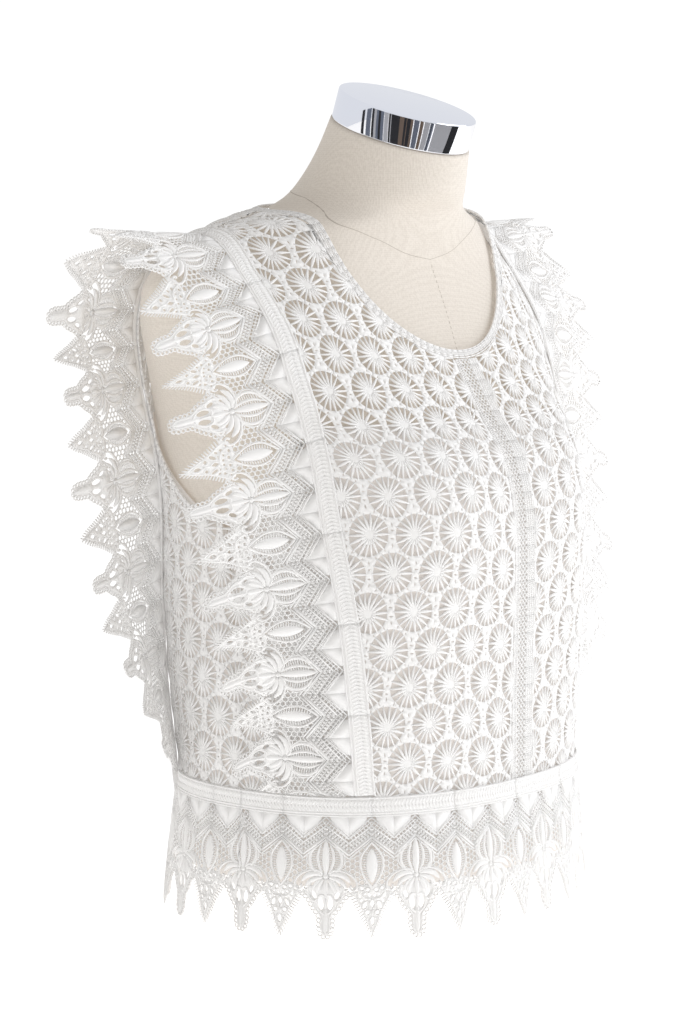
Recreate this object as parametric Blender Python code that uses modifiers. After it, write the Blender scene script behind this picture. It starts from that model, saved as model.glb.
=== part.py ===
"""White crochet-lace top, worn by a limbless dress form on a low base.

Metres, +Z up. The wearer faces -Y and the wearer's left is +X. The origin is on the floor,
under the middle of the base.
"""
import math

import bmesh
import bpy
import numpy as np
from mathutils import Matrix, Vector

# ------------------------------------------------------------------ driving sizes

SEAM_GAP = 0.0003
PANEL_GAP = 0.0006              # between a side panel and the front or back
LACE_WALL = 0.0015
FLOWER_RISE = 0.0009            # how far a lace flower stands up from its ground
BRAID_RISE = 0.0006
LINING_WALL = 0.0010
LINING_LIFT = -0.0021           # inner face of the lining, from the lace panels' inner face
BORDER_LIFT = 0.0021            # inner face of a strip where it lies on a panel
HEM_LIFT = 0.0018
HUG_CLEARANCE = 0.0022          # further lift where a strip lies over a side panel's flowers
BORDER_WIDTH = 0.095
BORDER_WALL = 0.0015
BORDER_REPEAT = 0.060           # one palmette and one leaf of the hem
HEM_REPEATS = 15
HEM_PHASE = 0.68                # repeats from the centre front to the first palmette
STRIP_REPEAT = 0.0575
STRIP_PHASE = 0.54              # repeats from the front waist to a strip's first palmette
STRIP_OVERLAP = 0.005           # a strip's straight edge lies this far in from the panel seam

WAIST = 0.104                   # top of the hem border
PANEL_FOOT = 0.095              # panels run on behind the hem border's braid
PANEL_FLAT = 0.1075             # no flowers below this height
CHEST = 0.350                   # top of the lining at the centre front
LINING_FOOT = 0.042
ARMHOLE_LOW = 0.283
ARMHOLE_FRONT = 0.345           # where the armhole edge meets the front seam
ARMHOLE_BACK = 0.332
NECK_HALF_WIDTH = 0.098
NECK_FRONT_HEIGHT = 0.387
NECK_BACK_HEIGHT = 0.484
NECK_BAND = 0.006
ARM_BAND = 0.003
INSERTION_HALF = 0.0115
BRAID = 0.010                   # plain braid along the straight edge of a border
HEM_FLARE = 0.085               # outward run of the hem border for each unit of drop

# Swellings of the front: half-width and height of the middle, rise, spread.
SWELLINGS = (
    (0.078, 0.292, 0.0105, 0.046),
    (0.150, 0.463, -0.028, 0.028),
)

CAP_RADIUS = 0.0485
CAP_HEIGHT = 0.0215
BASE_HALF_WIDTH = 0.105
BASE_HALF_DEPTH = 0.082
BASE_HEIGHT = 0.0447

# The cloth's inner face as level rings. Below the neck the cloth hangs on it; the form's skin
# lies inside it by "inset", and above the neckline the same rings carry the form's neck.
RING_COLUMNS = ("height", "half_width", "side_y", "front_y", "back_y", "squareness", "inset", "tilt")
BODY_RINGS = np.array((
    (0.040, 0.1500, 0.002, -0.1230, 0.1220, 2.25, 0.0360, 0.0),
    (0.104, 0.1490, 0.002, -0.1210, 0.1210, 2.30, 0.0300, 0.0),
    (0.154, 0.1515, 0.004, -0.1210, 0.1230, 2.45, 0.0220, 0.0),
    (0.209, 0.1535, 0.006, -0.1216, 0.1270, 2.48, 0.0120, 0.0),
    (0.250, 0.1540, 0.009, -0.1205, 0.1310, 2.45, 0.0065, 0.0),
    (0.290, 0.1555, 0.012, -0.1172, 0.1340, 2.38, 0.0045, 0.0),
    (0.325, 0.1590, 0.017, -0.1080, 0.1340, 2.40, 0.0042, 0.0),
    (0.350, 0.1650, 0.021, -0.0920, 0.1320, 2.38, 0.0038, 0.0),
    (0.385, 0.1780, 0.027, -0.0725, 0.1260, 2.30, 0.0032, 0.0),
    (0.420, 0.1930, 0.034, -0.0560, 0.1150, 2.15, 0.0030, 0.0),
    (0.438, 0.1960, 0.036, -0.0495, 0.1060, 2.05, 0.0028, 0.0),
    (0.452, 0.1890, 0.037, -0.0460, 0.0980, 1.95, 0.0027, 0.0),
    (0.463, 0.1690, 0.036, -0.0455, 0.0910, 1.90, 0.0029, 0.0),
    (0.472, 0.1490, 0.035, -0.0460, 0.0850, 1.90, 0.0034, 0.0),
    (0.480, 0.1260, 0.032, -0.0475, 0.0800, 1.95, 0.0036, 0.0),
    (0.486, 0.1010, 0.027, -0.0495, 0.0760, 2.00, 0.0034, 0.0),
    (0.491, 0.0800, 0.018, -0.0520, 0.0700, 2.00, 0.0020, 1.0),
    (0.497, 0.0670, 0.008, -0.0555, 0.0620, 2.00, 0.0007, 2.0),
    (0.506, 0.0590, 0.000, -0.0585, 0.0530, 2.00, 0.0000, 5.0),
    (0.522, 0.0530, -0.009, -0.0615, 0.0405, 2.00, 0.0000, 11.0),
    (0.540, 0.0485, -0.017, -0.0640, 0.0300, 2.00, 0.0000, 18.0),
))
FORM_SEGMENTS = 30

# Half-width of the seam between a panel and the side panel or armhole, front and back.
SEAM_COLUMNS = ("height", "front_x", "back_x")
SEAM_LINE = np.array((
    (0.095, 0.1215, 0.1170),
    (0.154, 0.1300, 0.1225),
    (0.209, 0.1355, 0.1280),
    (0.294, 0.1415, 0.1385),
    (0.356, 0.1455, 0.1450),
    (0.388, 0.1475, 0.1475),
    (0.440, 0.1500, 0.1500),
    (0.480, 0.1450, 0.1450),
))

# How a strip stands from the body, by its share of the way from the front waist over the
# shoulder to the back waist: the plan angle of its width on each side (degrees from straight
# out towards the back), its droop, and how far each side hugs the body instead.
STAND_COLUMNS = ("way", "right_angle", "left_angle", "droop", "right_hug", "left_hug")
STAND = np.array((
    (0.00, 30.0, 26.0, 0.02, 1.00, 1.00),
    (0.03, 30.0, 25.0, 0.02, 0.95, 0.45),
    (0.06, 30.0, 22.0, 0.03, 0.85, 0.04),
    (0.10, 30.0, 16.0, 0.05, 0.55, 0.00),
    (0.16, 29.0, 12.0, 0.07, 0.25, 0.00),
    (0.22, 29.0, 10.0, 0.09, 0.08, 0.00),
    (0.30, 28.0, 9.0, 0.10, 0.00, 0.00),
    (0.38, 25.0, 8.0, 0.12, 0.00, 0.00),
    (0.45, 9.0, 4.0, 0.12, 0.00, 0.00),
    (0.50, 0.0, 0.0, 0.10, 0.00, 0.00),
    (0.54, -2.0, -4.0, 0.08, 0.00, 0.00),
    (0.60, 4.0, -6.0, 0.06, 0.00, 0.00),
    (0.70, 1.0, -6.0, 0.04, 0.00, 0.00),
    (0.82, -5.0, -12.0, 0.03, 0.00, 0.00),
    (0.91, -16.0, -20.0, 0.02, 0.30, 0.30),
    (0.96, -26.0, -28.0, 0.01, 0.80, 0.80),
    (1.00, -30.0, -30.0, 0.00, 1.00, 1.00),
))

# One repeat of the pointed border as columns of its sheet: metres along the repeat from the
# palmette's middle, and how far the edge reaches there as a share of the border's width.
TOOTH = (
    (-0.0150, 0.68),
    (-0.0062, 0.81),
    (-0.0019, 0.985),
    (0.0019, 0.985),
    (0.0062, 0.81),
    (0.0150, 0.68),
    (0.0215, 0.77),
    (0.0277, 0.95),
    (0.0323, 0.95),
    (0.0385, 0.77),
)
TOOTH_HOLES = (1, 3, 7)         # columns with an open gap
HOLE_ROW = 2
INNER_ROW = 0.34                # rows of the border's sheet, as shares of its width
GAP_ROWS = (0.665, 0.785)
GAP_MARGINS = (0.110, 0.055)    # least distance from a gap's rows to the edge

FRONT_COLUMNS = 10
FRONT_ROWS = 11
YOKE_ROWS = 5
NECK_COLUMNS = 7                # columns of a half panel that end at the neck edge
NECK_CROWDING = 0.75            # below 1, those columns crowd towards the shoulder
NECK_BULGE = 0.012              # how far the yoke's columns bow out before they meet it
SEAM_MARGIN = 0.0105            # flat strip beside a border's seam
SIDE_COLUMNS = 11
SIDE_ROWS = 8
LINING_COLUMNS = 18
LINING_SHARES = (0.0, 0.20, 0.40, 0.55, 0.68, 0.78, 0.86, 0.93, 1.0)
LINING_DROP = 0.004             # the lining's edge lies this far below the armhole
LINING_TURN = 0.86              # share of the way to the seam where its edge turns down
LINING_SIDE = 0.0015            # radians from the side line to each lining's edge
INSERTION_SHARES = (-1.0, -0.62, -0.25, 0.25, 0.62, 1.0)
FORM_HEIGHTS = (0.045, 0.108, 0.172, 0.235, 0.265, 0.295, 0.325, 0.355, 0.385, 0.405, 0.422,
                0.437, 0.447, 0.455, 0.463, 0.472, 0.480, 0.486, 0.491, 0.497, 0.506, 0.522, 0.540)
NUDGE = 0.002                   # step of a numeric slope
WELD = 0.00003
SMOOTH_REACH = 6
ARM_SPANS = 10                  # spans of an armhole binding up each side
ARM_GAP = 0.0005
NECK_GAP = 0.0005
WAIST_GAP = 0.0012              # from the hem border up to a strip's ends
ARM_MIDDLE = (0.09, 0.02, 0.25)
SPINE_Y = 0.01
SPINE_TOP = 0.40
ROUND = 36
CAP_RIM = 0.0012
BASE_RIM = 0.003

LACE_WHITE = (0.86, 0.86, 0.85, 1.0)
LINING_WHITE = (0.82, 0.81, 0.79, 1.0)
LINEN = (0.78, 0.72, 0.62, 1.0)
CHROME = (0.80, 0.80, 0.83, 1.0)

# ------------------------------------------------------------------ smooth tables


def table_value(table, columns, name, at):
    """One named column of a table at the given places, on a smooth curve with no overshoot."""
    places = table[:, 0]
    values = table[:, columns.index(name)]
    step = np.diff(places)
    slope = np.diff(values) / step
    tangent = np.zeros(len(values))
    tangent[0] = slope[0]
    tangent[-1] = slope[-1]
    for k in range(1, len(values) - 1):
        if slope[k - 1] * slope[k] > 0:
            before = 2 * step[k] + step[k - 1]
            after = step[k] + 2 * step[k - 1]
            tangent[k] = (before + after) / (before / slope[k - 1] + after / slope[k])
    at = np.clip(np.asarray(at, dtype=float), places[0], places[-1])
    k = np.clip(np.searchsorted(places, at) - 1, 0, len(step) - 1)
    t = (at - places[k]) / step[k]
    return ((1 + 2 * t) * (1 - t) ** 2 * values[k] + t * (1 - t) ** 2 * step[k] * tangent[k]
            + t * t * (3 - 2 * t) * values[k + 1] - t * t * (1 - t) * step[k] * tangent[k + 1])


def ring_value(name, height):
    return table_value(BODY_RINGS, RING_COLUMNS, name, height)


# ------------------------------------------------------------------ the body surface


def body_point(angle, height):
    """A point of the cloth's inner face: angle 0 is the centre front, pi/2 the wearer's left."""
    angle = np.asarray(angle, dtype=float)
    height = np.asarray(height, dtype=float)
    power = 2.0 / ring_value("squareness", height)
    side_y = ring_value("side_y", height)
    sine = np.sin(angle)
    cosine = np.cos(angle)
    x = ring_value("half_width", height) * np.sign(sine) * np.abs(sine) ** power
    front = side_y - ring_value("front_y", height)
    back = ring_value("back_y", height) - side_y
    reach = np.where(cosine > 0, front, back)
    y = side_y - reach * np.sign(cosine) * np.abs(cosine) ** power
    frontal = np.clip(cosine, 0, 1)
    for middle, level, rise, spread in SWELLINGS:
        across = (np.abs(x) - middle) / spread
        upward = (height - level) / spread
        y = y - rise * np.exp(-0.5 * (across ** 2 + upward ** 2)) * frontal
    z = height + np.tan(np.radians(ring_value("tilt", height))) * (y - side_y)
    return np.stack((x, y, z), axis=-1)


def body_normal(angle, height):
    """The outward unit normal of the body surface."""
    around = body_point(angle + NUDGE, height) - body_point(angle - NUDGE, height)
    upward = body_point(angle, height + NUDGE / 4) - body_point(angle, height - NUDGE / 4)
    normal = np.cross(around, upward)
    return normal / np.linalg.norm(normal, axis=-1, keepdims=True)


def lifted(angle, height, lift):
    lift = np.asarray(lift, dtype=float)[..., None]
    return body_point(angle, height) + body_normal(angle, height) * lift


def angle_at_x(x, height, back=False):
    """The angle of the front or back point of a ring that has the given X."""
    share = np.clip(np.abs(x) / ring_value("half_width", height), 0, 1)
    angle = np.arcsin(share ** (ring_value("squareness", height) / 2))
    if back:
        angle = math.pi - angle
    return np.where(np.asarray(x) < 0, -angle, angle)


def ridge_height(x):
    """The height of the shoulder ridge at a distance x from the middle."""
    heights = np.linspace(0.438, 0.506, 600)
    widths = ring_value("half_width", heights)
    return np.interp(-np.abs(x), -widths, heights)


def slice_table(height, count=241):
    """Angles from the centre front to the centre back of a ring, and the length to each."""
    angles = np.linspace(0, math.pi, count)
    points = body_point(angles, np.full(count, height))
    steps = np.linalg.norm(np.diff(points, axis=0), axis=1)
    return angles, np.concatenate(([0.0], np.cumsum(steps)))


def arc_to_angle(height, arc):
    angles, lengths = slice_table(height)
    return np.interp(arc, lengths, angles)


def angle_to_arc(height, angle):
    angles, lengths = slice_table(height)
    return np.interp(angle, angles, lengths)


def seam_x(height, back=False):
    return table_value(SEAM_LINE, SEAM_COLUMNS, "back_x" if back else "front_x", height)


def seam_ridge():
    """Where the strip's seam crosses the shoulder ridge: its X and its height."""
    x = seam_x(0.474)
    for _ in range(4):
        x = seam_x(ridge_height(x))
    return float(x), float(ridge_height(x))


def neck_curve(grow, back=False, samples=400):
    """Half of the neck edge from the middle to the ridge: angles, heights and points.

    grow moves the edge towards the neck.
    """
    turn = np.linspace(0, math.pi / 2, samples)
    half_width = NECK_HALF_WIDTH - grow
    low = (NECK_BACK_HEIGHT if back else NECK_FRONT_HEIGHT) + grow
    x = half_width * np.sin(turn)
    top = ridge_height(half_width)
    height = top - (top - low) * np.cos(turn)
    angle = angle_at_x(x, height, back)
    return angle, height, body_point(angle, height)


def along_curve(curve, shares):
    """Angles and heights at shares of the length of a curve given as angles, heights, points."""
    angle, height, points = curve
    steps = np.linalg.norm(np.diff(points, axis=0), axis=1)
    length = np.concatenate(([0.0], np.cumsum(steps)))
    at = np.asarray(shares) * length[-1]
    return np.interp(at, length, angle), np.interp(at, length, height)


def curve_share(curve, place):
    """The share of a curve's length at a place given as a share of its samples."""
    points = curve[2]
    steps = np.linalg.norm(np.diff(points, axis=0), axis=1)
    length = np.concatenate(([0.0], np.cumsum(steps)))
    return float(np.interp(place, np.linspace(0, 1, len(length)), length / length[-1]))


# ------------------------------------------------------------------ objects


def clear_scene():
    for item in list(bpy.data.objects):
        bpy.data.objects.remove(item, do_unlink=True)


def make_material(name, color, roughness, metallic=0.0):
    material = bpy.data.materials.new(name)
    material.use_nodes = True
    shader = material.node_tree.nodes["Principled BSDF"]
    shader.inputs["Base Color"].default_value = color
    shader.inputs["Roughness"].default_value = roughness
    shader.inputs["Metallic"].default_value = metallic
    material.diffuse_color = color
    return material


def add_object(name, bm, material, collection):
    mesh = bpy.data.meshes.new(name)
    bm.to_mesh(mesh)
    bm.free()
    item = bpy.data.objects.new(name, mesh)
    item.data.materials.append(material)
    collection.objects.link(item)
    return item


def sheet_mesh(points, outward, holes=()):
    """A grid sheet through points[i][j], its faces turned the way that outward points."""
    columns, rows = points.shape[:2]
    bm = bmesh.new()
    bmesh.ops.create_grid(bm, x_segments=columns - 1, y_segments=rows - 1, size=0.5)
    bm.verts.ensure_lookup_table()
    places = {}
    for vert in bm.verts:
        i = round((vert.co.x + 0.5) * (columns - 1))
        j = round((vert.co.y + 0.5) * (rows - 1))
        places[vert] = (i, j)
    open_cells = []
    for face in bm.faces:
        corner = [places[vert] for vert in face.verts]
        cell = (min(i for i, j in corner), min(j for i, j in corner))
        if cell in holes:
            open_cells.append(face)
    for vert, (i, j) in places.items():
        vert.co = points[i, j]
    indexed = {vert.index: place for vert, place in places.items()}
    bmesh.ops.delete(bm, geom=open_cells, context="FACES")
    bm.normal_update()
    facing = sum(face.normal.dot(Vector(outward(face.calc_center_median()))) for face in bm.faces)
    if facing < 0:
        bmesh.ops.reverse_faces(bm, faces=bm.faces)
    return bm, indexed


def add_wall(item, thickness, weights=None, low=1.0):
    """Thickness outwards from an open sheet; weights raise single points of the outer face."""
    solid = item.modifiers.new("wall", "SOLIDIFY")
    solid.thickness = thickness
    solid.offset = 1.0
    solid.use_even_offset = False
    if weights:
        group = item.vertex_groups.new(name="relief")
        for index, weight in weights.items():
            group.add([index], weight, "REPLACE")
        solid.vertex_group = group.name
        solid.thickness_vertex_group = low
    return item


def away_from_axis(point):
    """Outward from a slanting spine inside the body."""
    spine = Vector((0.0, SPINE_Y, min(point.z, SPINE_TOP)))
    return point - spine


def wall_piece(name, points, thickness, material, collection, holes=()):
    bm, _ = sheet_mesh(points, away_from_axis, holes)
    return add_wall(add_object(name, bm, material, collection), thickness)


def raised_piece(name, points, raised, rise, material, collection):
    """A lace wall whose outer face stands up where raised is 1."""
    bm, places = sheet_mesh(points, away_from_axis)
    item = add_object(name, bm, material, collection)
    weights = {index: float(raised[place]) for index, place in places.items()}
    full = LACE_WALL + rise
    return add_wall(item, full, weights, LACE_WALL / full)


# ------------------------------------------------------------------ panels


def panel_shares(width):
    """Shares of the way across a half panel, with a flat column beside the seam."""
    shares = list(np.linspace(0, 1 - SEAM_MARGIN / width, FRONT_COLUMNS))
    return shares + [1.0]


def panel_heights():
    lower = list(np.linspace(PANEL_FLAT, CHEST, FRONT_ROWS + 1))
    return [PANEL_FOOT] + lower


def half_panel(inner_arc, back=False):
    """Points of a half panel on the wearer's left: columns from the middle to the seam."""
    half_gap = PANEL_GAP / 2
    columns = FRONT_COLUMNS + 1
    lower = panel_heights()
    grid = np.zeros((columns, len(lower) + YOKE_ROWS, 2))
    for j, height in enumerate(lower):
        lengths = slice_table(height)[1]
        edge_angle = angle_at_x(seam_x(height, back), height, back)
        edge_arc = angle_to_arc(height, edge_angle)
        reach = lengths[-1] - edge_arc if back else edge_arc
        shares = np.array(panel_shares(reach))
        arc = inner_arc + (reach - half_gap - inner_arc) * shares
        arc = lengths[-1] - arc if back else arc
        grid[:, j, 0] = arc_to_angle(height, arc)
        grid[:, j, 1] = height
    chest_x = body_point(grid[:, len(lower) - 1, 0], CHEST)[:, 0]
    shares = neck_shares(back)[-NECK_COLUMNS - 1:]
    neck_angle, neck_height = along_curve(neck_curve(0.0, back), shares)
    top_x = list(body_point(neck_angle, neck_height)[:, 0])
    top_height = list(neck_height)
    shoulder = np.linspace(NECK_HALF_WIDTH, seam_ridge()[0] - half_gap, columns - NECK_COLUMNS)
    for x in shoulder[1:]:
        top_x.append(x)
        top_height.append(float(ridge_height(x)))
    across = np.linspace(0, 1, columns)
    for i in range(columns):
        limit = float(ridge_height(top_x[i]))
        bend = 1.0 + (top_height[i] - CHEST) / (limit - CHEST)
        for k in range(1, YOKE_ROWS + 1):
            t = k / YOKE_ROWS
            height = CHEST + (top_height[i] - CHEST) * (1 - (1 - t) ** bend)
            straight = chest_x[-1] + (top_x[-1] - chest_x[-1]) * t
            bow = seam_x(height, back) - half_gap - straight
            bulge = NECK_BULGE * math.sin(math.pi * across[i]) * 4 * t * (1 - t)
            x = chest_x[i] + (top_x[i] - chest_x[i]) * t + bow * across[i] * (1 - t * t) + bulge
            grid[i, len(lower) - 1 + k, 0] = angle_at_x(x, height, back)
            grid[i, len(lower) - 1 + k, 1] = height
    return grid


def flower_weights(columns, rows, flat_columns, flat_rows):
    """1 where a lace flower's middle stands up, on a staggered lattice."""
    raised = np.zeros((columns, rows))
    for i in range(columns):
        for j in range(rows):
            if i in flat_columns or j in flat_rows:
                continue
            raised[i, j] = 1.0 if (i + j) % 2 == 0 else 0.0
    return raised


def part_at_ridge(points, grid, toward):
    """Pull the row that meets the shoulder seam back by half the seam gap."""
    ridge = np.abs(np.abs(grid[:, -1, 0]) - math.pi / 2) < 0.02
    points[ridge, -1, 1] += toward * SEAM_GAP / 2
    return points


def build_front_panels(material, collection):
    grid = half_panel(INSERTION_HALF + SEAM_GAP)
    columns, rows = grid.shape[:2]
    flat_columns = (0, columns - 2, columns - 1)
    flat_rows = (0, 1, rows - 1, rows - 2)
    raised = flower_weights(columns, rows, flat_columns, flat_rows)
    points = part_at_ridge(lifted(grid[..., 0], grid[..., 1], 0.0), grid, -1)
    mirror = points * np.array((-1.0, 1.0, 1.0))
    raised_piece("front_panel_left", points, raised, FLOWER_RISE, material, collection)
    raised_piece("front_panel_right", mirror, raised, FLOWER_RISE, material, collection)


def build_back_panel(material, collection):
    half = half_panel(0.0, back=True)
    other = half[:0:-1].copy()
    other[..., 0] = 2 * math.pi - other[..., 0]
    grid = np.concatenate((other, half), axis=0)
    columns, rows = grid.shape[:2]
    flat_columns = (0, 1, columns - 2, columns - 1)
    flat_rows = (0, 1, rows - 1, rows - 2)
    raised = flower_weights(columns, rows, flat_columns, flat_rows)
    grid[..., 0] = np.where(grid[..., 0] > math.pi, grid[..., 0] - 2 * math.pi, grid[..., 0])
    points = part_at_ridge(lifted(grid[..., 0], grid[..., 1], 0.0), grid, 1)
    raised_piece("back_panel", points, raised, FLOWER_RISE, material, collection)


def build_insertion(material, collection):
    """The diamond-mesh band down the centre front, with a raised braid along each side."""
    places = np.array(INSERTION_SHARES) * INSERTION_HALF
    top = NECK_FRONT_HEIGHT
    heights = np.concatenate((panel_heights(), np.linspace(CHEST, top, 4)[1:]))
    points = np.zeros((len(places), len(heights), 3))
    for j, height in enumerate(heights):
        angle = np.sign(places) * arc_to_angle(height, np.abs(places))
        points[:, j] = lifted(angle, np.full(len(places), height), 0.0)
    raised = np.zeros((len(places), len(heights)))
    raised[1, 2:-1] = 1.0
    raised[-2, 2:-1] = 1.0
    raised_piece("front_insertion", points, raised, BRAID_RISE, material, collection)


def armhole_height(share):
    """The armhole's lower edge over a side panel: share 0 is the front seam, 1 the back."""
    from_low = 2 * np.asarray(share) - 1
    rise = np.where(from_low < 0, ARMHOLE_FRONT - ARMHOLE_LOW, ARMHOLE_BACK - ARMHOLE_LOW)
    return ARMHOLE_LOW + rise * np.abs(from_low) ** 2.4


def side_angles(height, share, gap):
    """Angles across a side panel at one height."""
    lengths = slice_table(height)[1]
    front = angle_to_arc(height, angle_at_x(seam_x(height), height)) + gap
    back = angle_to_arc(height, angle_at_x(seam_x(height, True), height, True)) - gap
    return arc_to_angle(height, np.clip(front + (back - front) * share, 0, lengths[-1]))


def build_side_panels(material, collection):
    shares = np.linspace(0, 1, SIDE_COLUMNS + 1)
    points = np.zeros((SIDE_COLUMNS + 1, SIDE_ROWS + 2, 3))
    for i, share in enumerate(shares):
        top = float(armhole_height(share))
        heights = [PANEL_FOOT] + list(np.linspace(PANEL_FLAT, top, SIDE_ROWS + 1))
        for j, height in enumerate(heights):
            angle = side_angles(height, share, PANEL_GAP / 2)
            points[i, j] = lifted(angle, height, 0.0)
    columns, rows = points.shape[:2]
    flat_columns = (0, 1, columns - 2, columns - 1)
    raised = flower_weights(columns, rows, flat_columns, (0, 1, rows - 1))
    mirror = points * np.array((-1.0, 1.0, 1.0))
    raised_piece("side_panel_left", points, raised, FLOWER_RISE, material, collection)
    raised_piece("side_panel_right", mirror, raised, FLOWER_RISE, material, collection)


def lining_top(angle, back):
    """The lining's upper edge: level over the chest, down to the armhole at the side."""
    seam = angle_at_x(seam_x(CHEST, back), CHEST, back)
    from_mid = math.pi - angle if back else angle
    seam_mid = math.pi - seam if back else seam
    low = ARMHOLE_LOW - LINING_DROP
    turn = seam_mid * LINING_TURN
    if from_mid <= turn:
        return CHEST
    share = (from_mid - turn) / (math.pi / 2 - turn)
    return CHEST + (low - CHEST) * min(1.0, share) ** 0.8


def build_lining(name, back, material, collection):
    columns = LINING_COLUMNS + 1
    points = np.zeros((columns, len(LINING_SHARES), 3))
    for i in range(columns):
        turn = -1 + 2 * i / LINING_COLUMNS
        mid_angle = abs(turn) * (math.pi / 2 - LINING_SIDE)
        angle = math.pi - mid_angle if back else mid_angle
        top = lining_top(angle, back)
        side = math.copysign(1.0, turn)
        for j, share in enumerate(LINING_SHARES):
            height = LINING_FOOT + (top - LINING_FOOT) * share
            points[i, j] = lifted(side * angle, height, LINING_LIFT)
    wall_piece(name, points, LINING_WALL, material, collection)


# ------------------------------------------------------------------ the pointed border


def tooth_grid(length, width, repeat, phase):
    """Columns along a border, the rows across it at each column, and its open cells."""
    scale = repeat / BORDER_REPEAT
    first = -2
    last = int(length / repeat) + 2
    columns = []
    for r in range(first, last):
        for k, (along, reach) in enumerate(TOOTH):
            columns.append(((r + phase) * repeat + along * scale, reach, k))
    inside = [c for c in columns if LACE_WALL < c[0] < length - LACE_WALL]
    start = np.interp(0.0, [c[0] for c in columns], [c[1] for c in columns])
    end = np.interp(length, [c[0] for c in columns], [c[1] for c in columns])
    inside = [(0.0, start, -1)] + inside + [(length, end, -1)]
    place = np.array([c[0] for c in inside])
    reach = np.array([c[1] for c in inside])
    rows = np.stack((
        np.zeros(len(place)),
        np.full(len(place), INNER_ROW),
        np.minimum(GAP_ROWS[0], reach - GAP_MARGINS[0]),
        np.minimum(GAP_ROWS[1], reach - GAP_MARGINS[1]),
        reach,
    ), axis=1) * width
    holes = set()
    for i in range(len(inside) - 1):
        if inside[i][2] in TOOTH_HOLES and inside[i + 1][2] == inside[i][2] + 1:
            holes.add((i, HOLE_ROW))
    return place, rows, holes


def strip_path():
    """The strip's seam from the front waist over the shoulder to the back waist, wearer's left.

    Returns the length to each sample, the angle and height there, and a front/back flag.
    """
    samples = 300
    grow = 1 - (1 - np.linspace(0, 1, samples)) ** 2
    top = seam_ridge()[1]
    height = WAIST + WAIST_GAP + (top - WAIST - WAIST_GAP) * grow
    front = angle_at_x(seam_x(height), height)
    front[-1] = math.pi / 2
    back = angle_at_x(seam_x(height, True), height, True)
    back[-1] = math.pi / 2
    angle = np.concatenate((front, back[-2::-1]))
    heights = np.concatenate((height, height[-2::-1]))
    points = body_point(angle, heights)
    steps = np.linalg.norm(np.diff(points, axis=0), axis=1)
    length = np.concatenate(([0.0], np.cumsum(steps)))
    return length, angle, heights


def smoothed(values):
    """A running mean over the samples of a path, axis by axis."""
    window = np.ones(2 * SMOOTH_REACH + 1) / (2 * SMOOTH_REACH + 1)
    result = np.empty_like(values)
    for axis in range(3):
        padded = np.pad(values[:, axis], SMOOTH_REACH, mode="edge")
        result[:, axis] = np.convolve(padded, window, "valid")
    return result


def at_length(s, length, values):
    return np.array([np.interp(s, length, values[:, k]) for k in range(3)])


def strip_points(side, along, across, lift):
    """Points of a border strip: along its seam, across its width; side is "left" or "right"."""
    length, angle, height = strip_path()
    total = length[-1]
    samples = body_point(angle, height)
    tangent = np.gradient(samples, length, axis=0)
    tangent /= np.linalg.norm(tangent, axis=1, keepdims=True)
    tangent = smoothed(tangent)
    normal = smoothed(body_normal(angle, height))
    points = np.zeros((len(along), across.shape[1], 3))
    for i, s in enumerate(along):
        way = s / total
        base = at_length(s, length, samples)
        t = at_length(s, length, tangent)
        n = at_length(s, length, normal)
        h = float(np.interp(s, length, height))
        plan = math.radians(float(table_value(STAND, STAND_COLUMNS, side + "_angle", way)))
        droop = float(table_value(STAND, STAND_COLUMNS, "droop", way))
        hug = float(table_value(STAND, STAND_COLUMNS, side + "_hug", way))
        out = np.array((math.cos(plan), math.sin(plan), -droop))
        t /= np.linalg.norm(t)
        n /= np.linalg.norm(n)
        out -= t * out.dot(t)
        out /= np.linalg.norm(out)
        lie = np.cross(t, n)
        lie *= math.copysign(1.0, lie[0])
        lie /= np.linalg.norm(lie)
        front = way < 0.5
        a0 = float(np.interp(s, length, angle))
        arc0 = float(angle_to_arc(h, a0))
        for j, w in enumerate(across[i]):
            over = w - STRIP_OVERLAP
            flat = min(w, BRAID) - STRIP_OVERLAP
            stand = base + n * lift + lie * flat + out * max(0.0, w - BRAID)
            if hug > 0:
                arc = arc0 + over if front else arc0 - over
                clear = lift + HUG_CLEARANCE * min(1.0, w / (2 * BRAID))
                snug = lifted(arc_to_angle(h, arc), h, clear)
                stand = stand * (1 - hug) + snug * hug
            points[i, j] = stand
    return points


def build_strips(material, collection):
    total = strip_path()[0][-1]
    for side, sign in (("left", 1.0), ("right", -1.0)):
        place, rows, holes = tooth_grid(total, BORDER_WIDTH, STRIP_REPEAT, STRIP_PHASE)
        points = strip_points(side, place, rows, BORDER_LIFT)
        points = points * np.array((sign, 1.0, 1.0))
        bm, _ = sheet_mesh(points, strip_outward, holes)
        item = add_object("border_strip_" + side, bm, material, collection)
        add_wall(item, BORDER_WALL)


def strip_outward(point):
    """Away from the middle of the arm opening, which is the strip's inner side."""
    middle = Vector((math.copysign(ARM_MIDDLE[0], point.x), ARM_MIDDLE[1], ARM_MIDDLE[2]))
    return point - middle


def hem_points(along, across, total, lift):
    """Points of the hem border, along the waist from the centre front to the wearer's right."""
    angles, lengths = slice_table(WAIST, 721)
    half = lengths[-1]
    points = np.zeros((len(along), across.shape[1], 3))
    for i, s in enumerate(along):
        s = (s + total / 2) % total - total / 2
        angle = -math.copysign(float(np.interp(abs(s) / (total / 2) * half, lengths, angles)), s)
        base = body_point(angle, WAIST)
        normal = body_normal(angle, WAIST)
        normal[2] = 0
        normal /= np.linalg.norm(normal)
        for j, w in enumerate(across[i]):
            out = lift + w * HEM_FLARE
            drop = np.array((0, 0, w * math.sqrt(1 - HEM_FLARE ** 2)))
            points[i, j] = base + normal * out - drop
    return points


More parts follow.
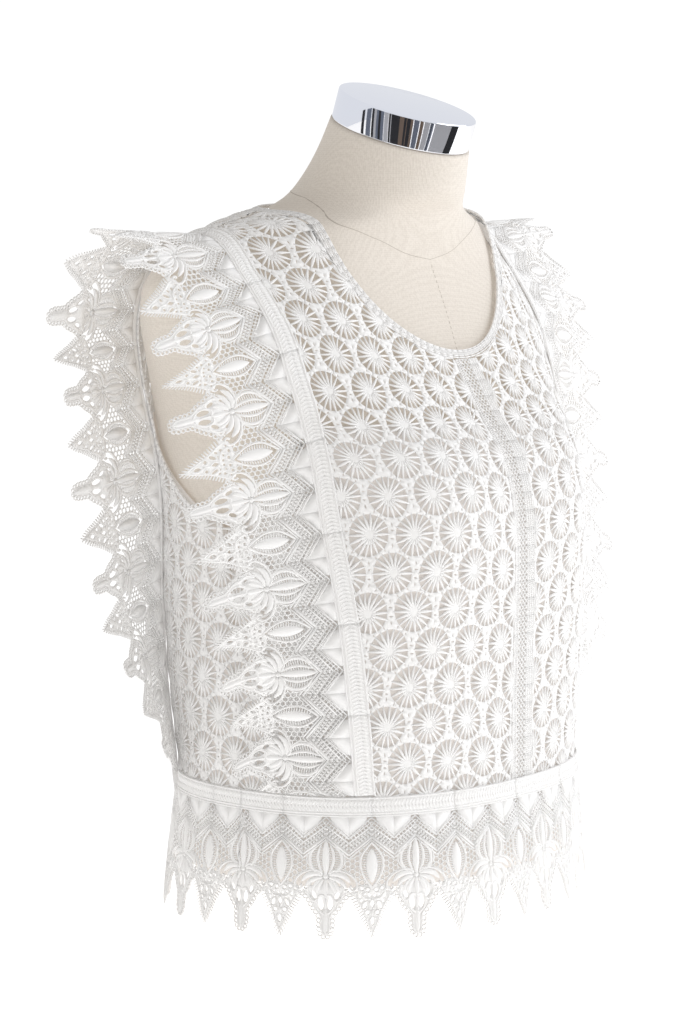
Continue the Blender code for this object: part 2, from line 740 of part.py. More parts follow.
def build_hem(material, collection):
    """The hem border in a front and a back half, meeting at the sides."""
    total = HEM_REPEATS * BORDER_REPEAT
    half = total / 2
    starts = {"hem_border_front": -total / 4, "hem_border_back": total / 4}
    for name, start in starts.items():
        phase = (HEM_PHASE * BORDER_REPEAT - start) / BORDER_REPEAT
        place, rows, holes = tooth_grid(half - SEAM_GAP, BORDER_WIDTH, BORDER_REPEAT, phase % 1.0)
        points = hem_points(place + start + SEAM_GAP / 2, rows, total, HEM_LIFT)
        wall_piece(name, points, BORDER_WALL, material, collection, holes)


# ------------------------------------------------------------------ bindings


def ring_wall(name, inner, outer, thickness, material, collection):
    """A closed band between two loops of points, with thickness outwards."""
    points = np.stack((inner, outer), axis=1)
    points = np.concatenate((points, points[:1]), axis=0)
    bm, _ = sheet_mesh(points, away_from_axis)
    bmesh.ops.remove_doubles(bm, verts=bm.verts, dist=WELD)
    item = add_object(name, bm, material, collection)
    return add_wall(item, thickness)


def neck_shares(back):
    """Where the panels' columns meet the neck edge, as shares of half of it."""
    curve = neck_curve(0.0, back)
    inner_arc = 0.0 if back else INSERTION_HALF + SEAM_GAP
    start = np.interp(inner_arc, curve[2][:, 0], np.linspace(0, 1, len(curve[0])))
    first = curve_share(curve, start)
    shares = first + (1 - first) * np.linspace(0, 1, NECK_COLUMNS + 1) ** NECK_CROWDING
    return shares if back else np.concatenate(([0.0], shares))


def neck_loop(grow):
    """The whole neck edge, moved towards the neck by grow."""
    front = along_curve(neck_curve(grow), neck_shares(False))
    back = along_curve(neck_curve(grow, True), neck_shares(True))
    quarter_front = lifted(front[0], front[1], 0.0)
    quarter_back = lifted(back[0], back[1], 0.0)
    quarter_front[-1] = lifted(math.pi / 2, front[1][-1], 0.0)
    left = np.concatenate((quarter_front, quarter_back[-2::-1]), axis=0)
    right = (left * np.array((-1.0, 1.0, 1.0)))[-2:0:-1]
    return np.concatenate((left, right), axis=0)


def armhole_slope(share):
    """The rise of the armhole's lower edge for each metre along the body."""
    height = float(armhole_height(share))
    ends = angle_to_arc(height, side_angles(height, np.array((0.0, 1.0)), 0.0))
    step = 0.01
    rise = armhole_height(min(1.0, share + step)) - armhole_height(max(0.0, share - step))
    run = (min(1.0, share + step) - max(0.0, share - step)) * (ends[1] - ends[0])
    return float(rise / run)


def arm_loop(inset):
    """The armhole edge on the wearer's left, moved into the opening by inset."""
    shares = np.linspace(0, 1, SIDE_COLUMNS + 1)
    low = []
    for share in shares:
        steepness = math.sqrt(1 + armhole_slope(share) ** 2)
        height = float(armhole_height(share)) + inset * steepness
        low.append((float(side_angles(height, share, inset)), height))
    tops = np.linspace(0, 1, ARM_SPANS + 1)[1:]
    top = float(ridge_height(seam_ridge()[0] + inset))
    front = []
    back = []
    for t in tops:
        for rising, start, is_back in ((front, low[0][1], False), (back, low[-1][1], True)):
            height = start + (top - start) * (1 - (1 - t) ** 2)
            x = seam_x(height, is_back) + inset
            rising.append((float(angle_at_x(x, height, is_back)), height))
    path = front[::-1] + low + back
    angle = np.array([a for a, h in path[1:]])
    height = np.array([h for a, h in path[1:]])
    return angle, height


def arm_band_points(inset):
    angle, height = arm_loop(inset)
    return lifted(angle, height, 0.0)


def build_bindings(material, collection):
    outer = neck_loop(NECK_GAP)
    inner = neck_loop(NECK_BAND)
    ring_wall("neck_binding", outer, inner, LACE_WALL, material, collection)
    for side, sign in (("left", 1.0), ("right", -1.0)):
        flip = np.array((sign, 1.0, 1.0))
        edge = arm_band_points(ARM_GAP) * flip
        free = arm_band_points(ARM_GAP + ARM_BAND) * flip
        ring_wall("armhole_binding_" + side, edge, free, LACE_WALL, material, collection)


# ------------------------------------------------------------------ the form


def build_torso(material, collection):
    heights = np.array(FORM_HEIGHTS)
    turns = np.linspace(-math.pi, math.pi, FORM_SEGMENTS + 1)
    angle, height = np.meshgrid(turns, heights, indexing="ij")
    points = lifted(angle, height, -ring_value("inset", height))
    points[:, 0, 2] = FORM_HEIGHTS[0]
    bm, _ = sheet_mesh(points, away_from_axis)
    bmesh.ops.remove_doubles(bm, verts=bm.verts, dist=WELD)
    rims = [edge for edge in bm.edges if edge.is_boundary]
    bmesh.ops.holes_fill(bm, edges=rims, sides=0)
    bmesh.ops.recalc_face_normals(bm, faces=bm.faces)
    add_object("form_torso", bm, material, collection)


def build_cap(material, collection):
    """The polished cap on the neck's slanting top."""
    top = BODY_RINGS[-1]
    side_y = top[RING_COLUMNS.index("side_y")]
    tilt = math.radians(top[RING_COLUMNS.index("tilt")])
    mid_y = (top[RING_COLUMNS.index("front_y")] + top[RING_COLUMNS.index("back_y")]) / 2
    lean = Matrix.Rotation(tilt, 4, "X")
    axis = lean @ Vector((0, 0, 1))
    seat = Vector((0, mid_y, top[0] + math.tan(tilt) * (mid_y - side_y)))
    middle = seat + axis * (SEAM_GAP + CAP_HEIGHT / 2)
    bm = bmesh.new()
    bmesh.ops.create_cone(bm, cap_ends=True, segments=ROUND, radius1=CAP_RADIUS, radius2=CAP_RADIUS,
                          depth=CAP_HEIGHT, matrix=Matrix.Translation(middle) @ lean)
    item = add_object("form_neck_cap", bm, material, collection)
    rim = item.modifiers.new("rim", "BEVEL")
    rim.width = CAP_RIM
    rim.segments = 1
    rim.limit_method = "ANGLE"


def build_base(material, collection):
    bm = bmesh.new()
    bmesh.ops.create_cone(bm, cap_ends=True, segments=ROUND, radius1=1.0, radius2=1.0, depth=1.0)
    bmesh.ops.scale(bm, vec=(BASE_HALF_WIDTH, BASE_HALF_DEPTH, BASE_HEIGHT), verts=bm.verts)
    bmesh.ops.translate(bm, vec=(0, 0, BASE_HEIGHT / 2), verts=bm.verts)
    item = add_object("form_base", bm, material, collection)
    rim = item.modifiers.new("rim", "BEVEL")
    rim.width = BASE_RIM
    rim.segments = 1
    rim.limit_method = "ANGLE"


def main():
    clear_scene()
    collection = bpy.data.collections.new("crochet_top_on_form")
    bpy.context.scene.collection.children.link(collection)
    lace = make_material("white_lace", LACE_WHITE, 0.85)
    lining = make_material("white_lining", LINING_WHITE, 0.80)
    linen = make_material("cream_linen", LINEN, 0.85)
    chrome = make_material("polished_cap", CHROME, 0.10, 1.0)
    build_torso(linen, collection)
    build_cap(chrome, collection)
    build_base(linen, collection)
    build_lining("lining_front", False, lining, collection)
    build_lining("lining_back", True, lining, collection)
    build_front_panels(lace, collection)
    build_back_panel(lace, collection)
    build_side_panels(lace, collection)
    build_insertion(lace, collection)
    build_strips(lace, collection)
    build_hem(lace, collection)
    build_bindings(lace, collection)


main()
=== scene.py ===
"""The finished look of a white crochet-lace top, worn by a limbless linen dress form.

Metres, +Z up. The wearer faces -Y and the wearer's left is +X. The lace is drawn flat, in
millimetres, then laid on the cloth's surface.
"""
import math

import bmesh
import bpy
import numpy as np
from mathutils import Matrix, Vector
from mathutils.geometry import delaunay_2d_cdt


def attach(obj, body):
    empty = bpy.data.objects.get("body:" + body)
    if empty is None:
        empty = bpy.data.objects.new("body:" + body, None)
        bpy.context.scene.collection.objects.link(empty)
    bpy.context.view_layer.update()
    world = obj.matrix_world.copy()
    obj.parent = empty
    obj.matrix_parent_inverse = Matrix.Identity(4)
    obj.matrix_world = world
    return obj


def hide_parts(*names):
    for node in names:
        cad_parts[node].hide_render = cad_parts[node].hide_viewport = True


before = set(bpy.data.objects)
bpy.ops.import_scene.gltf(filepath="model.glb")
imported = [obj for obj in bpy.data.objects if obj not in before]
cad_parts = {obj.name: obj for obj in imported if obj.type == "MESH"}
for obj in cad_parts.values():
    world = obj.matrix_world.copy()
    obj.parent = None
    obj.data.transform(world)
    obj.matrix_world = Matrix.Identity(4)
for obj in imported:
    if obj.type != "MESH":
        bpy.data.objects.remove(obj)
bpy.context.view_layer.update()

# ------------------------------------------------------------------ driving sizes

MM = 0.001
LACE_LIFT = 0.0002
BORDER_LIFT = 0.0021
HEM_LIFT = 0.0018
HUG_CLEARANCE = 0.0022
BORDER_WIDTH = 95.0             # millimetres, as are the drawn sizes below
BORDER_REPEAT = 60.0
HEM_REPEATS = 15
HEM_PHASE = 0.68
STRIP_REPEAT = 60.4
STRIP_PHASE = 0.418
STRIP_OVERLAP = 0.005
BRAID = 0.010
WAIST = 0.104
WAIST_GAP = 0.0012
HEM_FLARE = 0.085
PANEL_FOOT = 0.095
PANEL_GAP = 0.0006
CHEST = 0.350
ARMHOLE_LOW = 0.283
ARMHOLE_FRONT = 0.345
ARMHOLE_BACK = 0.332
ARMHOLE_POWER = 2.4             # how squarely the armhole's foot is cut
NECK_HALF_WIDTH = 0.098
NECK_FRONT_HEIGHT = 0.387
NECK_BACK_HEIGHT = 0.484
INSERTION_HALF = 0.0115
LINING_LIFT = -0.0021
LINING_FOOT = 0.042
LINING_DROP = 0.004
LINING_TURN = 0.86
LINING_COLUMNS = 85
LINING_ROWS = 40
LINING_THICKNESS = 0.0006
LINING_GAP = 0.0015             # radians, at each side seam
LINING_SINK = 0.0004
LINING_POWER = 0.8              # how squarely it is cut away at the armholes
CREASE_SHARE = 0.6
CREASE_DEPTH = 0.2              # how far under the chest the creases grow
LINING_CREASES = ((0.0007, 17, 9, 0.0), (0.0004, 41, 21, 1.0))  # size, pace around and up, start
FORM_FOOT = 0.045
FORM_COLUMNS = 104
FORM_ROWS = ((FORM_FOOT, 0.43, 44), (0.434, 0.540, 44))     # from, to, count
CAP_RADIUS = 0.0485
CAP_HEIGHT = 0.0215
CAP_ROUNDING = 0.0012
SEAM_GAP = 0.0003
BASE_HALF_WIDTH = 0.105
BASE_HALF_DEPTH = 0.082
BASE_HEIGHT = 0.0447
BASE_ROUNDING = 0.003
SHARP_EDGE = 35                 # degrees

DAISY_ACROSS = 30.7             # millimetres from one daisy of a row to the next
DAISY_UP = 25.6                 # from one row to the next
DAISY_START = (11.2, 30.6)      # a daisy's place from the centre front and the panel's foot
DAISY_DRAWN = (34.0, 25.0)      # the same two distances as the daisy is drawn
DAISY_RIM = (14.6, 13.6)
DAISY_SPOKES = 18
DAISY_HEIGHT = 0.85
DAISY_REACH = 16                # how far from its middle a daisy reaches
PANEL_REACH = 170               # the lengths and climbs that the daisies fill
SIDE_REACH = (90, 330)
SIDE_CLIMB = (0, 265)
UNEVEN = (      # how hand work wanders: the axis, then waves of size, pace across and up, start
    (0, (0.45, 0.05, 0.19, 0.0), (0.30, 0.31, 0.11, 0.0)),
    (1, (0.45, 0.17, -0.04, 0.0), (0.30, 0.00, 0.27, 1.3)),
    (0, (0.16, 0.37, 1.31, 0.0), (0.12, 1.90, 0.70, 0.0)),
    (1, (0.16, 1.17, -0.41, 0.0), (0.12, -0.60, 2.10, 0.0)),
)

UNEVEN_HEIGHT = (0.2, 0.23, 0.21)       # size, pace across and up

SWELLINGS = (   # each from the middle, its height, its rise and its spread
    (0.078, 0.292, 0.0105, 0.046),
    (0.150, 0.463, -0.028, 0.028),
)
RING_COLUMNS = ("height", "half_width", "side_y", "front_y", "back_y", "squareness", "inset",
                "tilt")
BODY_RINGS = np.array((
    (0.040, 0.1500, 0.002, -0.1230, 0.1220, 2.25, 0.0360, 0.0),
    (0.104, 0.1490, 0.002, -0.1210, 0.1210, 2.30, 0.0300, 0.0),
    (0.154, 0.1515, 0.004, -0.1210, 0.1230, 2.45, 0.0220, 0.0),
    (0.209, 0.1535, 0.006, -0.1216, 0.1270, 2.48, 0.0120, 0.0),
    (0.250, 0.1540, 0.009, -0.1205, 0.1310, 2.45, 0.0065, 0.0),
    (0.290, 0.1555, 0.012, -0.1172, 0.1340, 2.38, 0.0045, 0.0),
    (0.325, 0.1590, 0.017, -0.1080, 0.1340, 2.40, 0.0042, 0.0),
    (0.350, 0.1650, 0.021, -0.0920, 0.1320, 2.38, 0.0038, 0.0),
    (0.385, 0.1780, 0.027, -0.0725, 0.1260, 2.30, 0.0032, 0.0),
    (0.420, 0.1930, 0.034, -0.0560, 0.1150, 2.15, 0.0030, 0.0),
    (0.438, 0.1960, 0.036, -0.0495, 0.1060, 2.05, 0.0028, 0.0),
    (0.452, 0.1890, 0.037, -0.0460, 0.0980, 1.95, 0.0027, 0.0),
    (0.463, 0.1690, 0.036, -0.0455, 0.0910, 1.90, 0.0029, 0.0),
    (0.472, 0.1490, 0.035, -0.0460, 0.0850, 1.90, 0.0034, 0.0),
    (0.480, 0.1260, 0.032, -0.0475, 0.0800, 1.95, 0.0036, 0.0),
    (0.486, 0.1010, 0.027, -0.0495, 0.0760, 2.00, 0.0034, 0.0),
    (0.491, 0.0800, 0.018, -0.0520, 0.0700, 2.00, 0.0020, 1.0),
    (0.497, 0.0670, 0.008, -0.0555, 0.0620, 2.00, 0.0007, 2.0),
    (0.506, 0.0590, 0.000, -0.0585, 0.0530, 2.00, 0.0000, 5.0),
    (0.522, 0.0530, -0.009, -0.0615, 0.0405, 2.00, 0.0000, 11.0),
    (0.540, 0.0485, -0.017, -0.0640, 0.0300, 2.00, 0.0000, 18.0),
))
SEAM_COLUMNS = ("height", "front_x", "back_x")
SEAM_LINE = np.array((
    (0.095, 0.1215, 0.1170),
    (0.154, 0.1300, 0.1225),
    (0.209, 0.1355, 0.1280),
    (0.294, 0.1415, 0.1385),
    (0.356, 0.1455, 0.1450),
    (0.388, 0.1475, 0.1475),
    (0.440, 0.1500, 0.1500),
    (0.480, 0.1450, 0.1450),
))
LAP_COLUMNS = ("way", "lap")      # how far the strip's straight edge laps further over the panel
LAP = np.array((
    (0.00, 0.0065), (0.06, 0.0095), (0.12, 0.0115), (0.18, 0.0122), (0.26, 0.0122), (0.31, 0.0110),
    (0.36, 0.0070), (0.42, 0.0060), (0.47, 0.0035), (0.52, 0.0010), (0.58, 0.0), (1.00, 0.0),
))
GATHER_COLUMNS = ("laid", "shift")      # how far the lace is drawn together along the seam
GATHER = np.array((
    (0.000, 0.0), (0.327, 0.0), (0.357, -0.0085), (0.388, -0.012), (0.418, -0.017),
    (0.448, -0.023), (0.478, -0.026), (0.509, -0.028), (0.539, -0.033), (0.569, -0.038),
    (0.629, -0.038), (0.840, -0.038),
))
STAND_COLUMNS = ("way", "right_angle", "left_angle", "droop", "right_hug", "left_hug")
STAND = np.array((
    (0.00, 30.0, 26.0, 0.02, 1.00, 1.00),
    (0.03, 30.0, 25.0, 0.02, 0.95, 0.45),
    (0.06, 30.0, 22.0, 0.03, 0.85, 0.04),
    (0.10, 30.0, 16.0, 0.05, 0.55, 0.00),
    (0.16, 29.0, 12.0, 0.07, 0.25, 0.00),
    (0.22, 29.0, 10.0, 0.09, 0.08, 0.00),
    (0.30, 28.0, 9.0, 0.10, 0.00, 0.00),
    (0.38, 25.0, 8.0, 0.12, 0.00, 0.00),
    (0.45, 15.0, 4.0, 0.08, 0.00, 0.00),
    (0.47, 14.0, 2.0, 0.04, 0.00, 0.00),
    (0.50, 9.0, 0.0, -0.04, 0.00, 0.00),
    (0.53, 9.0, -3.0, 0.00, 0.00, 0.00),
    (0.56, 6.0, -5.0, 0.05, 0.00, 0.00),
    (0.60, 3.0, -6.0, 0.10, 0.00, 0.00),
    (0.66, -5.0, -6.0, 0.08, 0.00, 0.00),
    (0.74, 2.0, -8.0, 0.08, 0.00, 0.00),
    (0.81, -8.0, -12.0, 0.06, 0.00, 0.00),
    (0.85, -13.0, -15.0, 0.05, 0.00, 0.00),
    (0.89, -23.0, -19.0, 0.03, 0.00, 0.20),
    (0.93, -31.0, -23.0, 0.02, 0.00, 0.45),
    (0.965, -37.0, -28.0, 0.01, 0.00, 0.80),
    (1.00, -41.0, -30.0, 0.00, 0.00, 1.00),
))
TOUCH = 1e-6                    # metres: two places nearer than this are the same
GRID_END = 1.0001               # keeps a place on a grid just inside its last row or column
CLIMB_ANGLE = 0.6               # where round the body the climb is measured
RING_SAMPLES = 361
RISE_SAMPLES = 300
STRIP_SAMPLES = 321
NECK_SAMPLES = 160
ARM_SAMPLES = 60
EDGING_SAMPLES = 721
INSERTION_SAMPLES = 200
RIDGE_HEIGHTS = np.linspace(0.438, 0.506, 600)
RIDGE_GAP = 0.00002             # between a panel's lace and the shoulder ridge
RIDGE_EASE = (0.02, 0.0002)     # how near the ridge in radians the back's lace is set back
ARM_SIDE = (0.09, 0.02, 0.25)   # a point inside the body that the strips' faces look away from
LAP_TOP = 0.485                 # how high up the ridge a strip's straight edge can lie
NUDGE = 0.002                   # how far apart points are taken to find a surface's slope

LOOSE_WAVE = 0.090              # how far down a border its waves grow
STRIP_WAVE = 0.0012
STRIP_WAVE_START = 0.8
HEM_WAVE = 0.0011
HEM_LONG_WAVE = (0.0016, 23.0, 1.0)     # size, radians per metre, start
CURL_START = 0.058              # where a strip's points begin to lean along the seam
CURL_REACH = 0.036
CURL_LEAN = (0.0045, 0.009)     # how far they lean: everywhere in front, and more at the waist
CURL_DROP = 0.004
CURL_FADE = (1.2, 2.4)          # how it fades from the front to the shoulder
CURL_WAIST = 4                  # and from the waist up
NECK_EASE = (0.075, 0.008)      # how far from the middle the front's lace is eased, and how much

# ------------------------------------------------------------------ the body surface


def table_value(table, columns, name, at):
    """One named column of a table at the given places, on a smooth curve with no overshoot."""
    places = table[:, 0]
    values = table[:, columns.index(name)]
    step = np.diff(places)
    slope = np.diff(values) / step
    tangent = np.zeros(len(values))
    tangent[0] = slope[0]
    tangent[-1] = slope[-1]
    for k in range(1, len(values) - 1):
        if slope[k - 1] * slope[k] > 0:
            before = 2 * step[k] + step[k - 1]
            after = step[k] + 2 * step[k - 1]
            tangent[k] = (before + after) / (before / slope[k - 1] + after / slope[k])
    at = np.clip(np.asarray(at, dtype=float), places[0], places[-1])
    k = np.clip(np.searchsorted(places, at) - 1, 0, len(step) - 1)
    t = (at - places[k]) / step[k]
    return ((1 + 2 * t) * (1 - t) ** 2 * values[k] + t * (1 - t) ** 2 * step[k] * tangent[k]
            + t * t * (3 - 2 * t) * values[k + 1] - t * t * (1 - t) * step[k] * tangent[k + 1])


def ring_value(name, height):
    return table_value(BODY_RINGS, RING_COLUMNS, name, height)


def body_point(angle, height):
    """A point of the cloth's inner face: angle 0 is the centre front, pi/2 the wearer's left."""
    angle = np.asarray(angle, dtype=float)
    height = np.asarray(height, dtype=float)
    power = 2.0 / ring_value("squareness", height)
    side_y = ring_value("side_y", height)
    sine = np.sin(angle)
    cosine = np.cos(angle)
    x = ring_value("half_width", height) * np.sign(sine) * np.abs(sine) ** power
    front = side_y - ring_value("front_y", height)
    back = ring_value("back_y", height) - side_y
    reach = np.where(cosine > 0, front, back)
    y = side_y - reach * np.sign(cosine) * np.abs(cosine) ** power
    frontal = np.clip(cosine, 0, 1)
    for middle, level, rise, spread in SWELLINGS:
        across = (np.abs(x) - middle) / spread
        upward = (height - level) / spread
        y = y - rise * np.exp(-0.5 * (across ** 2 + upward ** 2)) * frontal
    z = height + np.tan(np.radians(ring_value("tilt", height))) * (y - side_y)
    return np.stack((x, y, z), axis=-1)


def body_normal(angle, height):
    around = body_point(angle + NUDGE, height) - body_point(angle - NUDGE, height)
    upward = body_point(angle, height + NUDGE / 4) - body_point(angle, height - NUDGE / 4)
    normal = np.cross(around, upward)
    return normal / np.linalg.norm(normal, axis=-1, keepdims=True)


def lifted(angle, height, lift):
    lift = np.asarray(lift, dtype=float)[..., None]
    return body_point(angle, height) + body_normal(angle, height) * lift


def angle_at_x(x, height, back=False):
    share = np.clip(np.abs(x) / ring_value("half_width", height), 0, 1)
    angle = np.arcsin(share ** (ring_value("squareness", height) / 2))
    if back:
        angle = math.pi - angle
    return np.where(np.asarray(x) < 0, -angle, angle)


def ridge_height(x):
    return np.interp(-np.abs(x), -ring_value("half_width", RIDGE_HEIGHTS), RIDGE_HEIGHTS)


def seam_x(height, back=False):
    return table_value(SEAM_LINE, SEAM_COLUMNS, "back_x" if back else "front_x", height)


def seam_ridge():
    x = seam_x(0.474)
    for _ in range(4):
        x = seam_x(ridge_height(x))
    return float(x), float(ridge_height(x))


def slowing(count):
    """Shares from 0 to 1 in ever smaller steps."""
    return 1 - (1 - np.linspace(0, 1, count)) ** 2


def resampled(at, places, points):
    """A line's points at other places along it."""
    return np.stack([np.interp(at, places, points[:, k]) for k in range(3)], axis=1)


def lengths_along(points):
    steps = np.linalg.norm(np.diff(points, axis=0), axis=1)
    return np.concatenate(([0.0], np.cumsum(steps)))


def grid_value(grid, row, column):
    """Values between the points of a grid, at fractional rows and columns."""
    row = np.clip(row, 0, grid.shape[0] - GRID_END)
    column = np.clip(column, 0, grid.shape[1] - GRID_END)
    i = row.astype(int)
    j = column.astype(int)
    a = row - i
    b = column - j
    if grid.ndim == 3:
        a = a[..., None]
        b = b[..., None]
    return ((grid[i, j] * (1 - a) + grid[i + 1, j] * a) * (1 - b)
            + (grid[i, j + 1] * (1 - a) + grid[i + 1, j + 1] * a) * b)


# Level rings below the chest: the angle at each share of half a ring's length.
LEVELS = np.linspace(0.090, 0.352, 70)
RING_SHARES = np.linspace(0, 1, 181)
RING_ANGLES = np.zeros((len(LEVELS), len(RING_SHARES)))
RING_LENGTHS = np.zeros(len(LEVELS))
for level_index, level in enumerate(LEVELS):
    fine = np.linspace(0, math.pi, RING_SAMPLES)
    measured = lengths_along(body_point(fine, np.full(len(fine), level)))
    RING_LENGTHS[level_index] = measured[-1]
    RING_ANGLES[level_index] = np.interp(RING_SHARES * measured[-1], measured, fine)


def ring_length(height):
    return np.interp(height, LEVELS, RING_LENGTHS)


def arc_angle(height, arc):
    """The angle of a point that lies an arc from the centre front along its level ring."""
    row = (height - LEVELS[0]) / (LEVELS[1] - LEVELS[0])
    return grid_value(RING_ANGLES, row, arc / ring_length(height) * (len(RING_SHARES) - 1))


def seam_arcs(back):
    """The arc from the centre front to a seam, at each level."""
    arcs = []
    for k, height in enumerate(LEVELS):
        angle = angle_at_x(seam_x(height, back), height, back)
        arcs.append(np.interp(angle, RING_ANGLES[k], RING_SHARES * RING_LENGTHS[k]))
    return np.array(arcs)


SEAM_ARCS = {False: seam_arcs(False), True: seam_arcs(True)}


def seam_arc(height, back=False):
    """The arc from the centre front to the front or back seam."""
    return np.interp(height, LEVELS, SEAM_ARCS[back])


# How far up the cloth each height lies, from the panels' foot to the chest.
CLIMB_HEIGHTS = np.linspace(PANEL_FOOT, CHEST, 130)
CLIMB = lengths_along(body_point(np.full(len(CLIMB_HEIGHTS), CLIMB_ANGLE), CLIMB_HEIGHTS))

# Above the chest the lace runs up lines of constant X to the shoulder ridge.
YOKE_X = np.linspace(0, 0.152, 39)
YOKE_SHARES = np.linspace(0, 1, 121)


def yoke_table(back):
    heights = np.zeros((len(YOKE_X), len(YOKE_SHARES)))
    lengths = np.zeros(len(YOKE_X))
    for k, x in enumerate(YOKE_X):
        top = float(ridge_height(x))
        rising = CHEST + (top - CHEST) * slowing(RISE_SAMPLES)
        angles = angle_at_x(np.full(RISE_SAMPLES, x), rising, back)
        measured = lengths_along(body_point(angles, rising))
        lengths[k] = measured[-1]
        heights[k] = np.interp(YOKE_SHARES * measured[-1], measured, rising)
    return heights, lengths


YOKES = {False: yoke_table(False), True: yoke_table(True)}


def neck_height(x, back):
    """The neck edge's height over a place across the yoke."""
    low = NECK_BACK_HEIGHT if back else NECK_FRONT_HEIGHT
    top = float(ridge_height(NECK_HALF_WIDTH))
    inside = np.clip(np.abs(x) / NECK_HALF_WIDTH, 0, 1)
    edge = top - (top - low) * np.sqrt(1 - inside ** 2)
    return np.where(np.abs(x) < NECK_HALF_WIDTH, edge, 1.0)


def panel_place(across, upward, back, inner):
    """Where a panel's lace lies: angles, heights, and which points lay past the panel's edge.

    across is the arc from the middle and upward the climb from the foot; points past an edge
    are brought in to it.
    """
    low = upward <= CLIMB[-1]
    height = np.interp(upward, CLIMB, CLIMB_HEIGHTS)
    seam = seam_arc(height, back)
    half = ring_length(height)
    reach = (half - seam if back else seam) - PANEL_GAP / 2
    arc = np.clip(across, inner, np.maximum(reach, inner))
    past = (np.abs(arc - across) > TOUCH) | (upward < 0)
    angle = arc_angle(height, half - arc if back else arc)

    x = np.abs(body_point(arc_angle(np.full(across.shape, CHEST), across), CHEST)[..., 0])
    x_in = np.clip(x, inner, YOKE_X[-1])
    heights, lengths = YOKES[back]
    length = np.interp(x_in, YOKE_X, lengths)
    share = (upward - CLIMB[-1]) / length
    row = x_in / YOKE_X[-1] * (len(YOKE_X) - 1)
    yoke_height = grid_value(heights, row, np.clip(share, 0, 1) * (len(YOKE_SHARES) - 1))
    limit = np.minimum(neck_height(x_in, back), ridge_height(x_in) - RIDGE_GAP)
    past_yoke = (share > 1) | (yoke_height > limit) | (np.abs(x_in - x) > TOUCH)
    yoke_height = np.minimum(yoke_height, limit)
    edge = seam_x(yoke_height, back) - PANEL_GAP / 2
    past_yoke |= x_in > edge
    x_in = np.minimum(x_in, edge)
    yoke_angle = angle_at_x(x_in, yoke_height, back)
    return (np.where(low, angle, yoke_angle), np.where(low, height, yoke_height),
            np.where(low, past, past_yoke))


def armhole_height(share):
    from_low = 2 * np.asarray(share) - 1
    rise = np.where(from_low < 0, ARMHOLE_FRONT - ARMHOLE_LOW, ARMHOLE_BACK - ARMHOLE_LOW)
    return ARMHOLE_LOW + rise * np.abs(from_low) ** ARMHOLE_POWER


def side_place(across, upward):
    """The same for a side panel, which ends at the armhole."""
    height = np.interp(upward, CLIMB, CLIMB_HEIGHTS)
    front = seam_arc(height) + PANEL_GAP / 2
    back = seam_arc(height, True) - PANEL_GAP / 2
    arc = np.clip(across, front, back)
    top = armhole_height((arc - front) / (back - front))
    past = (np.abs(arc - across) > TOUCH) | (height > top) | (upward < 0)
    height = np.minimum(height, top)
    return arc_angle(height, arc), height, past


# ------------------------------------------------------------------ the border surfaces


def smoothed(values, reach=6):
    window = np.ones(2 * reach + 1) / (2 * reach + 1)
    padded = np.pad(values, ((reach, reach), (0, 0)), mode="edge")
    return np.stack([np.convolve(padded[:, k], window, "valid") for k in range(3)], axis=1)


def unit(vectors):
    return vectors / np.linalg.norm(vectors, axis=-1, keepdims=True)


def strip_path():
    start = WAIST + WAIST_GAP
    height = start + (seam_ridge()[1] - start) * slowing(RISE_SAMPLES)
    front = angle_at_x(seam_x(height), height)
    front[-1] = math.pi / 2
    back = angle_at_x(seam_x(height, True), height, True)
    back[-1] = math.pi / 2
    angle = np.concatenate((front, back[-2::-1]))
    heights = np.concatenate((height, height[-2::-1]))
    return lengths_along(body_point(angle, heights)), angle, heights


STRIP_LENGTH, STRIP_ANGLE, STRIP_HEIGHT = strip_path()
STRIP_TOTAL = STRIP_LENGTH[-1]
STRIP_WIDTHS = np.array((-0.013, -0.008, -0.004, 0.0, 0.005, 0.010, 0.012, 0.015, 0.020, 0.030,
                         0.045, 0.060, 0.075, 0.095))


